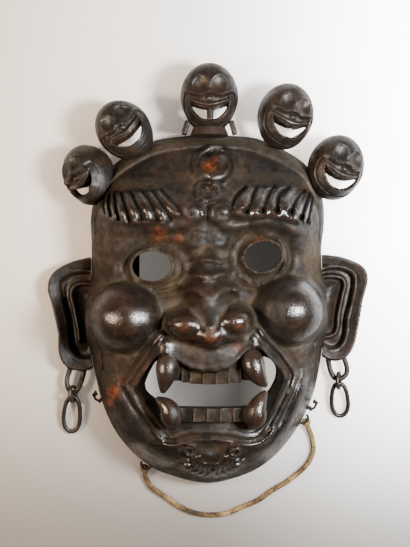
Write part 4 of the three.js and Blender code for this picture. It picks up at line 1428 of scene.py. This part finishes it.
def skull_height(x, y, share):
    """A skull's carved front: a dome with a jaw band, overhanging cheeks, sockets and a nose."""
    z = SKULL_FRONT * np.sqrt(np.clip(1 - share**2.6, 0, 1)) - 1
    ring = np.hypot(x, (y + 5.6) * 0.99)
    # the cheeks overhang the grin along a wavy line
    cheek = -0.3 - 2.4 * bell(np.abs(x) - 8.2, 4.6) + 1.6 * rise(15, 20, np.abs(x))
    below = rise(0.4, -1.0, y - cheek)
    z = z - 4.2 * below * rise(22.2, 21.0, ring)
    z = z + 1.0 * bell(y - cheek - 1.2, 1.2) * rise(21.5, 19.5, np.abs(x))
    # a broad flat band runs round the grin like a jaw
    z = z + 2.8 * below * rise(15.9, 17.1, ring) * rise(21.8, 20.6, ring)
    z = z + 0.8 * bell(ring - 17.4, 1.0) * rise(-6, -9, y)
    for side in (-1, 1):
        away = np.hypot((x - side * 7.8) / 6.5, (y - 6.8) / 7.6)
        z = z - 3.6 * bell(away, 0.8)
        z = z + 1.3 * bell((away - 1.06) * 7, 0.8) * rise(-0.7, 0.7, (y - 6.8) / 7.6)
    gum = [(-16.5, -4.6), (-8, -8.0), (0, -9.6), (8, -8.0), (16.5, -4.6)]
    z = z + ridge(x, y, gum, 1.9, 2.4, taper=0.3)
    z = z + 2.8 * np.sqrt(np.clip(1 - ((x / 3.0) ** 2 + ((y + 4.4) / 2.6) ** 2), 0, 1))
    return z


def skull_mesh(name):
    """A square grid wrapped onto the egg outline: domed and carved in front, rounded behind."""
    shape = bmesh.new()
    bmesh.ops.create_grid(shape, x_segments=SKULL_GRID, y_segments=SKULL_GRID, size=1)
    copy = bmesh.ops.duplicate(shape, geom=shape.verts[:] + shape.edges[:] + shape.faces[:])
    for item in copy["geom"]:
        if isinstance(item, bmesh.types.BMVert):
            item.co.z = -1
    bmesh.ops.bridge_loops(shape, edges=[edge for edge in shape.edges if edge.is_boundary])
    bmesh.ops.recalc_face_normals(shape, faces=shape.faces[:])
    mesh = mesh_from_bmesh(name, shape)
    points = read_points(mesh)
    u, v, back = points[:, 0].copy(), points[:, 1].copy(), points[:, 2] < -0.5
    dx, dy = u * np.sqrt(1 - v * v / 2), v * np.sqrt(1 - u * u / 2)
    share = np.sin(np.clip(np.hypot(dx, dy), 0, 1) * math.pi / 2) ** 0.85
    angle = np.arctan2(dy, dx)
    radius = egg_radius(angle) * share
    x, y = radius * np.cos(angle), radius * np.sin(angle)
    rear = -1.6 - SKULL_REAR * np.sqrt(np.clip(1 - share**5, 0, 1))
    z = np.where(back, rear, skull_height(x, y, share))
    write_points(mesh, np.stack([x, y, z], axis=1))
    return mesh


def skull_core(name):
    """The hollow inside a skull, open through its back."""
    shape = bmesh.new()
    bmesh.ops.create_icosphere(shape, subdivisions=4, radius=1)
    for vert in shape.verts:
        vert.co = (vert.co.x * 18, vert.co.y * 21.5 - 1, vert.co.z * 17 - 10)
    return mesh_from_bmesh(name, shape)


def block(name, centre, size, round_off, turn=0.0):
    """A rounded block, turned a little in its own plane."""
    shape = bmesh.new()
    bmesh.ops.create_cube(shape, size=1)
    bmesh.ops.scale(shape, vec=size, verts=shape.verts[:])
    bmesh.ops.bevel(
        shape, geom=shape.edges[:], offset=round_off, offset_type="OFFSET", segments=4,
        profile=0.5, affect="EDGES", material=-1,
    )
    place = Matrix.Translation(centre) @ Matrix.Rotation(turn, 4, "Z")
    bmesh.ops.transform(shape, matrix=place, verts=shape.verts[:])
    return mesh_from_bmesh(name, shape)


def foot_mesh(name):
    """The short flared foot that the centre skull stands on."""
    shape = bmesh.new()
    bmesh.ops.create_cone(
        shape, cap_ends=True, segments=48, radius1=14, radius2=11, depth=9,
        matrix=Matrix.Rotation(-math.pi / 2, 4, "X"),
    )
    bmesh.ops.scale(shape, vec=(1.2, 1, 0.75), verts=shape.verts[:])
    bmesh.ops.translate(shape, vec=(0, -30, 3), verts=shape.verts[:])
    bmesh.ops.recalc_face_normals(shape, faces=shape.faces[:])
    return mesh_from_bmesh(name, shape)


def near_mask():
    """The mask grown a little and kept plain, to trim what stands against its side."""
    return relief_mesh("near_mask", PLAIN_GRID, 1.006, -5, lambda x, y, share: dome(share) + 4.6)


def skull_matrix(skull):
    turn = Matrix.Rotation(math.radians(skull["face"]), 4, "Y")
    turn = turn @ Matrix.Rotation(math.radians(skull["lean"]), 4, "X")
    turn = turn @ Matrix.Rotation(math.radians(skull["roll"]), 4, "Z")
    return Matrix.Translation(skull["at"]) @ turn @ Matrix.Scale(skull["size"], 4)


def grin_shaft(skull):
    """Carries a side-facing grin straight down through the back of the skull, so that it is
    open all the way when seen from in front of the mask."""
    place = skull_matrix(skull)
    width = 0.97 if skull["face"] > 0 else 0.55
    outline = [(place @ Vector((x * width, y, GRIN_FRONT))).xy * 1.02 for x, y in GRIN]
    return prism("shaft", [tuple(p) for p in outline], -5, skull["at"][2] + 6, per_span=5)


def build_skull(skull):
    """One skull, hollow and open through its grin; the centre one has a tooth, foot and struts."""
    piece = new_object("carved_" + skull["name"], skull_mesh(skull["name"]))
    boolean(piece, skull_core("core"), "DIFFERENCE")
    boolean(piece, prism("grin", GRIN, -40, 40, per_span=5), "DIFFERENCE")
    if skull["name"] == "skull_centre":
        boolean(piece, block("bar", (0.6, -16, 11), (5.6, 13, 6.5), 2.0), "UNION")
        boolean(piece, foot_mesh("foot"), "UNION")
        for side in (-1, 1):
            strut = block("strut", (side * 20, -26, 0), (4.5, 12, 8), 1.2, side * 0.3)
            boolean(piece, strut, "UNION")
    smooth_points(piece.data, 1, 0.35)
    piece.data.transform(skull_matrix(skull))
    boolean(piece, near_mask(), "DIFFERENCE")
    if abs(skull["face"]) > 15:
        boolean(piece, grin_shaft(skull), "DIFFERENCE")
    finish_small_wood(piece, dust=0.6, polish=0.35)
    return piece


# ---------- ears ----------
EAR_BACK = 4
EAR_FLOOR = 5.0
EAR_GRID = (90, 170)
EAR_REACH = 22
CHAIN_Z = 8.5
YOKE_RADIUS = 2.0
RING_RADIUS = 6.7
RING_WIRE = 1.5
LINK_WIRE = 1.9
LINK_DROP = 2.4
EARS = [
    {
        "side": "left",
        "outline": [
            (-94, 7), (-113, 9.5), (-134, 0), (-141, -14), (-137, -32), (-132, -55), (-131, -74),
            (-124, -86), (-110, -89), (-100, -86), (-92, -78), (-90, -40),
        ],
        "outer_ridge": [
            (-97, -1.5), (-112, -0.6), (-124, -2), (-130.5, -6.5), (-132, -13.5), (-129.7, -26.2),
            (-125, -43.8), (-123.2, -65), (-119.6, -74.2), (-113, -78.6), (-97, -79.1),
        ],
        "inner_ridge": [
            (-97, -12.9), (-111, -11.6), (-118.6, -15), (-120.2, -21.8), (-118.2, -31),
            (-114.7, -48.2), (-112.9, -62.3),
        ],
        "yoke": [
            (-119.5, -82), (-124.5, -97), (-122, -107), (-116.5, -107.5), (-111.5, -98),
            (-108, -83),
        ],
        "tilt": -4, "length": 36, "ring_x": -119.3,
    },
    {
        "side": "right",
        "outline": [
            (94, 9), (113, 13), (136, 5), (142.5, -7), (138, -27), (134, -50), (130, -67),
            (122, -78), (110, -80), (100, -75), (90, -66), (88, -30),
        ],
        "outer_ridge": [
            (97, 0.3), (112, 3.2), (125, 0.6), (131, -7), (129, -24.4), (124.6, -42),
            (123.4, -56), (119.4, -66), (111.9, -70.3), (97, -69.4),
        ],
        "inner_ridge": [
            (97, -7.6), (108.4, -5), (118.6, -6.6), (121.9, -12.5), (119.9, -22), (116.4, -39.4),
            (115.5, -50.4), (111.4, -57.4), (98, -59.7),
        ],
        "yoke": [
            (107, -74), (109, -87), (113.5, -95.5), (120.5, -95.5), (124.5, -88), (120, -73),
        ],
        "tilt": 5, "length": 34, "ring_x": 117,
    },
]


def tube(name, points, radius, closed=False, roundness=6):
    """A round bar along a line of points, with closed ends unless it is a loop."""
    data = bpy.data.curves.new(name, "CURVE")
    data.dimensions = "3D"
    data.bevel_depth = radius
    data.bevel_resolution = roundness
    data.use_fill_caps = not closed
    spline = data.splines.new("POLY")
    spline.points.add(len(points) - 1)
    for target, point in zip(spline.points, points):
        target.co = (*point, 1)
    spline.use_cyclic_u = closed
    holder = bpy.data.objects.new(name, data)
    bpy.context.scene.collection.objects.link(holder)
    graph = bpy.context.evaluated_depsgraph_get()
    mesh = bpy.data.meshes.new_from_object(holder.evaluated_get(graph))
    bpy.data.objects.remove(holder)
    shape = bmesh.new()
    shape.from_mesh(mesh)
    bmesh.ops.remove_doubles(shape, verts=shape.verts[:], dist=1e-4)
    bmesh.ops.recalc_face_normals(shape, faces=shape.faces[:])
    return mesh_from_bmesh(name, shape)


def ear_height(ear, x, y):
    """The ear's carved front: a thin bead at the edge, two ridges and a dished middle."""
    rim, _ = near_line(x, y, smooth_line(ear["outline"], closed=True), EAR_REACH)
    outer = ridge(x, y, ear["outer_ridge"], 2.6, 6.2)
    inner = ridge(x, y, ear["inner_ridge"], 2.3, 4.6)
    edge = (9.4 - 0.42 * rim) * rise(12.0, 8.6, rim)
    edge = edge * half_round((1 - rim / 2.4).clip(0, 1), 1)
    away, _ = near_line(x, y, smooth_line(ear["inner_ridge"]), EAR_REACH)
    dish = 3.2 * rise(1.5, 11, away) * rise(8, 16, rim)
    return EAR_BACK + EAR_FLOOR - dish + np.maximum(np.maximum(outer, inner), edge)


def build_ear(ear):
    """A carved slab cut to the ear's outline, with its yoke, trimmed to the side of the face."""
    points = np.array(ear["outline"], dtype=float)
    low, high = points.min(axis=0) - 4, points.max(axis=0) + 4
    shape = bmesh.new()
    bmesh.ops.create_grid(shape, x_segments=EAR_GRID[0], y_segments=EAR_GRID[1], size=1)
    base = bmesh.ops.extrude_face_region(shape, geom=shape.faces[:])["geom"]
    for vert in base:
        if isinstance(vert, bmesh.types.BMVert):
            vert.co.z = 1
    bmesh.ops.recalc_face_normals(shape, faces=shape.faces[:])
    mesh = mesh_from_bmesh("ear", shape)
    grid = read_points(mesh)
    x = low[0] + (grid[:, 0] + 1) / 2 * (high[0] - low[0])
    y = low[1] + (grid[:, 1] + 1) / 2 * (high[1] - low[1])
    z = np.where(grid[:, 2] > 0.5, ear_height(ear, x, y), EAR_BACK)
    write_points(mesh, np.stack([x, y, z], axis=1))
    piece = new_object("carved_ear_" + ear["side"], mesh)
    boolean(piece, prism("plate", ear["outline"], 0, 30, per_span=8), "INTERSECT")
    loop = smooth_line(ear["yoke"], 6)
    boolean(piece, tube("yoke", [(x, y, CHAIN_Z) for x, y in loop], YOKE_RADIUS + 0.3), "UNION")
    boolean(piece, near_mask(), "DIFFERENCE")
    smooth_points(piece.data, 1, 0.3)
    finish_small_wood(piece, dust=0.45, polish=0.15)
    return piece


def chain_piece(name, points, radius):
    piece = new_object(name, tube(name, points, radius, closed=True))
    finish_small_wood(piece, dust=0.45, polish=0.4, sharp=80)
    return piece


def chain_lines(ear):
    """The lines of an ear's two chain links: the ring turned on edge in the yoke, and the long
    link that hangs in it and slopes down to the ground."""
    ring_y = min(y for _, y in ear["yoke"]) - LINK_DROP
    turn = Matrix.Rotation(math.pi * 0.4, 3, "Y")
    ring = []
    for t in np.linspace(0, 2 * math.pi, 40, endpoint=False):
        p = turn @ Vector((RING_RADIUS * math.cos(t), RING_RADIUS * math.sin(t), 0))
        ring.append((p.x + ear["ring_x"], p.y + ring_y, p.z + CHAIN_Z))
    half = ear["length"] / 2
    reach = half - LINK_WIRE
    lean = Matrix.Rotation(math.asin((CHAIN_Z - LINK_WIRE) / (2 * half)), 3, "X")
    swing = Matrix.Rotation(math.radians(ear["tilt"]), 3, "Z")
    middle = Vector((
        ear["ring_x"] + math.sin(math.radians(ear["tilt"])) * reach,
        ring_y - LINK_DROP - reach,
        (CHAIN_Z + LINK_WIRE) / 2,
    ))
    link = []
    for t in np.linspace(-math.pi, math.pi, 64, endpoint=False):
        blunt = 0.72 if t > 0 else 1
        width = 7.2 - 1.6 * math.sin(t)
        x = width * math.copysign(abs(math.cos(t)) ** blunt, math.cos(t))
        y = reach * math.copysign(abs(math.sin(t)) ** blunt, t)
        link.append(tuple(middle + swing @ (lean @ Vector((x, y, 0)))))
    yield "ear_ring_" + ear["side"], ring, RING_WIRE
    yield "ear_link_" + ear["side"], link, LINK_WIRE


# ---------- staples, knots and cord ----------
STAPLE_WIRE = 1.1
STAPLE_BEND = 4.6
STAPLE_SINK = 1.5
# Each staple's direction from the middle of the face, in degrees, and its height.
STAPLES = [
    ("staple_left_jaw", 219.5, 14), ("staple_left_chin", 248.9, 9),
    ("staple_right_chin", 310.6, 9), ("staple_right_jaw", 316.8, 14),
]


def staple_place(angle):
    """Where a staple leaves the side of the face, and its direction out."""
    turn = math.radians(angle)
    radius = float(outline_radius(np.array([math.atan2(math.sin(turn), math.cos(turn))]))[0])
    out = Vector((math.cos(turn), math.sin(turn), 0))
    return Vector((0, CENTRE_Y, 0)) + out * (radius - STAPLE_SINK), out


def build_staple(name, angle, height):
    """Soft iron wire pushed through the wall, bent into an eye, its end twisted back."""
    foot, out = staple_place(angle)
    along = Vector((-out.y, out.x, 0))
    path = []
    for t in np.linspace(-1.0, 1.0, 22):
        bend = math.pi * t * 0.52
        reach = out * (STAPLE_BEND * math.cos(bend) + 0.9)
        spread = along * (STAPLE_BEND * math.sin(bend))
        path.append(tuple(foot + reach + spread + Vector((0, 0, height + 0.5 * t))))
    piece = new_object("bent_" + name, tube(name, path, STAPLE_WIRE, roundness=3))
    if "jaw" in name:
        for lift in (-2.5, 2.5):
            start = foot + out * 1.2 + along * lift + Vector((0, 0, height))
            end = foot + out * 5.2 + along * lift * 1.8 + Vector((0, 0, height + 1))
            mid = start.lerp(end, 0.5) + along * 0.8
            ends = [tuple(start), tuple(mid), tuple(end)]
            boolean(piece, tube("spur", ends, STAPLE_WIRE * 1.15, roundness=3), "UNION")
    to_frame(piece.data)
    finish_mesh(piece, 70)
    return piece


CORD_DIAMETER = 4.8
CORD_ROUTE = [
    (-55.3, -179, 5.5), (-55.2, -183, 3.6), (-53.2, -188.5, 2.5), (-49.5, -194, 2.5),
    (-41, -200, 2.5), (-32, -206, 2.5), (-24, -211.5, 2.5), (-14, -216, 2.5), (-2, -218.5, 2.5),
    (8, -218.5, 2.5), (19, -217, 2.5), (33, -211, 2.5), (46, -205.5, 2.5), (58, -197, 2.5),
    (70, -190, 2.5), (82, -181, 2.5), (91, -171.5, 2.5), (95, -161, 2.5), (94.2, -151, 2.5),
    (92, -144.5, 3.4), (89.6, -138.5, 5.4),
]
CORD_STEP = 0.6
STRANDS = 3
STRAND_LAY = 7.5
STRAND_OFFSET = CORD_DIAMETER * 0.25
STRAND_RADIUS = CORD_DIAMETER * 0.245


def cord_centres():
    """Points at even steps along the cord's route, and its length."""
    line = smooth_line(CORD_ROUTE, 16)
    steps = np.linalg.norm(np.diff(line, axis=0), axis=1)
    run = np.concatenate([[0], np.cumsum(steps)])
    even = np.arange(0, run[-1], CORD_STEP)
    return np.stack([np.interp(even, run, line[:, k]) for k in range(3)], axis=1), run[-1]


def build_cord():
    """Three strands laid round each other along the route, each a soft round yarn."""
    centres, length = cord_centres()
    tangent = np.gradient(centres, axis=0)
    tangent /= np.linalg.norm(tangent, axis=1)[:, None]
    side = np.cross(tangent, (0, 0, 1))
    side /= np.linalg.norm(side, axis=1)[:, None]
    up = np.cross(side, tangent)
    run = np.arange(len(centres)) * CORD_STEP
    whole = bmesh.new()
    for strand in range(STRANDS):
        turn = 2 * math.pi * (run / STRAND_LAY + strand / STRANDS)
        outward = np.cos(turn)[:, None] * side + np.sin(turn)[:, None] * up
        path = centres + STRAND_OFFSET * outward
        mesh = tube("strand", [tuple(p) for p in path], STRAND_RADIUS, roundness=3)
        whole.from_mesh(mesh)
        bpy.data.meshes.remove(mesh)
    piece = new_object("laid_cord", mesh_from_bmesh("laid_cord", whole))
    to_frame(piece.data)
    finish_mesh(piece, 80)
    path = [tuple(world(*p)) for p in centres[::3]] + [tuple(world(*centres[-1]))]
    return piece, path, length * MM


KNOT_RADIUS = 2.6
KNOT_YARN = 1.35
# How each turn of a knot is tipped and spun.
KNOT_TURNS = [(0.5, 0.3), (-0.6, 1.4), (0.1, 2.5)]


def build_knot(name, angle, height):
    """Three turns of the cord drawn tight round the staple."""
    foot, out = staple_place(angle)
    along = Vector((-out.y, out.x, 0))
    centre = foot + out * (STAPLE_BEND + 1.4) + Vector((0, 0, height - 3))
    whole = bmesh.new()
    for k, (tip, spin) in enumerate(KNOT_TURNS):
        turn = Matrix.Rotation(tip, 3, out) @ Matrix.Rotation(spin, 3, along)
        loop = []
        for t in np.linspace(0, 2 * math.pi, 28, endpoint=False):
            x, y = KNOT_RADIUS * math.cos(t), KNOT_RADIUS * math.sin(t)
            loop.append(tuple(centre + turn @ Vector((x, y, 0.5 * math.sin(2 * t + k)))))
        mesh = tube("turn", loop, KNOT_YARN, closed=True, roundness=3)
        whole.from_mesh(mesh)
        bpy.data.meshes.remove(mesh)
    piece = new_object(name, mesh_from_bmesh(name, whole))
    to_frame(piece.data)
    finish_mesh(piece, 80)
    return piece


def laid_cotton():
    """Cotton cord laid from three strands, golden with age: dull, fibrous, and soiled brown in
    patches along its length."""
    m = new_material("laid_cotton")
    place = add(m, "ShaderNodeTexCoord").outputs["Object"]
    stain = add(m, "ShaderNodeTexNoise", {"Vector": place}, Scale=60, Detail=4, Roughness=0.6)
    fibre = add(m, "ShaderNodeTexNoise", {"Vector": place}, Scale=1600, Detail=3, Roughness=0.6)
    base = ramp(m, stain.outputs["Fac"], [
        (0.34, colour("#231709")), (0.46, colour("#56401f")), (0.6, colour("#7d6740")),
    ])
    speck = ramp(m, fibre.outputs["Fac"], [(0.35, 0.7), (0.65, 1.2)])
    base = mix(m, 1.0, base, speck, "MULTIPLY")
    bump = add(m, "ShaderNodeBump", {"Height": fibre.outputs["Fac"]}, Strength=0.6, Distance=0.0003)
    shader = add(m, "ShaderNodeBsdfPrincipled", {"Base Color": base, "Normal": bump.outputs[0]},
                 Roughness=0.92)
    add(m, "ShaderNodeOutputMaterial", {"Surface": shader.outputs[0]})
    return m


def rusted_iron():
    """Soft iron wire gone black-brown with rust: dull, pitted, with a dark sheen where rubbed."""
    m = new_material("rusted_iron_wire")
    place = add(m, "ShaderNodeTexCoord").outputs["Object"]
    pits = add(m, "ShaderNodeTexNoise", {"Vector": place}, Scale=500, Detail=5, Roughness=0.7)
    base = ramp(m, pits.outputs["Fac"], [
        (0.35, colour("#120e0c")), (0.55, colour("#2b1e17")), (0.7, colour("#4a2c1a")),
    ])
    rough = add(m, "ShaderNodeMapRange", {"Value": pits.outputs["Fac"]},
                **{"To Min": 0.5, "To Max": 0.9})
    bump = add(m, "ShaderNodeBump", {"Height": pits.outputs["Fac"]}, Strength=0.6, Distance=0.0003)
    shader = add(m, "ShaderNodeBsdfPrincipled", {
        "Base Color": base, "Roughness": rough.outputs[0], "Normal": bump.outputs[0],
    }, Metallic=0.55)
    add(m, "ShaderNodeOutputMaterial", {"Surface": shader.outputs[0]})
    return m


# ---------- the pieces in their places ----------
WOOD = stained_wood()
IRON = rusted_iron()
COTTON = laid_cotton()

cord_piece, cord_path, cord_length = build_cord()
dress(cord_piece, COTTON, "cotton_cord", "hanging_cord")
left_knot = build_knot("tied_knot_left", *STAPLES[1][1:])
right_knot = build_knot("tied_knot_right", *STAPLES[2][1:])
dress(left_knot, COTTON, "cotton_cord", "cord_knot_left")
dress(right_knot, COTTON, "cotton_cord", "cord_knot_right")
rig.cord(
    cord_piece, exit=cord_path[0], length=cord_length, diameter=CORD_DIAMETER * MM,
    far_end="object", stiffness="limp", lay="loose", path=cord_path,
    with_pieces=[left_knot, right_knot],
)

for skull in SKULLS:
    dress(build_skull(skull), WOOD, "carved_wood", skull["name"])
for ear in EARS:
    dress(build_ear(ear), WOOD, "carved_wood", "ear_" + ear["side"])
    for link_name, link_line, link_radius in chain_lines(ear):
        chain = chain_piece("turned_" + link_name, link_line, link_radius)
        dress(chain, WOOD, "carved_wood", link_name)
for staple in STAPLES:
    dress(build_staple(*staple), IRON, "iron_wire", staple[0])

make_floor()
make_lights()
dress(build_mask(), WOOD, "carved_wood", "mask_face")

with open("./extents.json", "w") as out:
    json.dump({"cad": [list(c) for c in CAD_BOX], "visual": [list(c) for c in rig.bounds()]}, out)
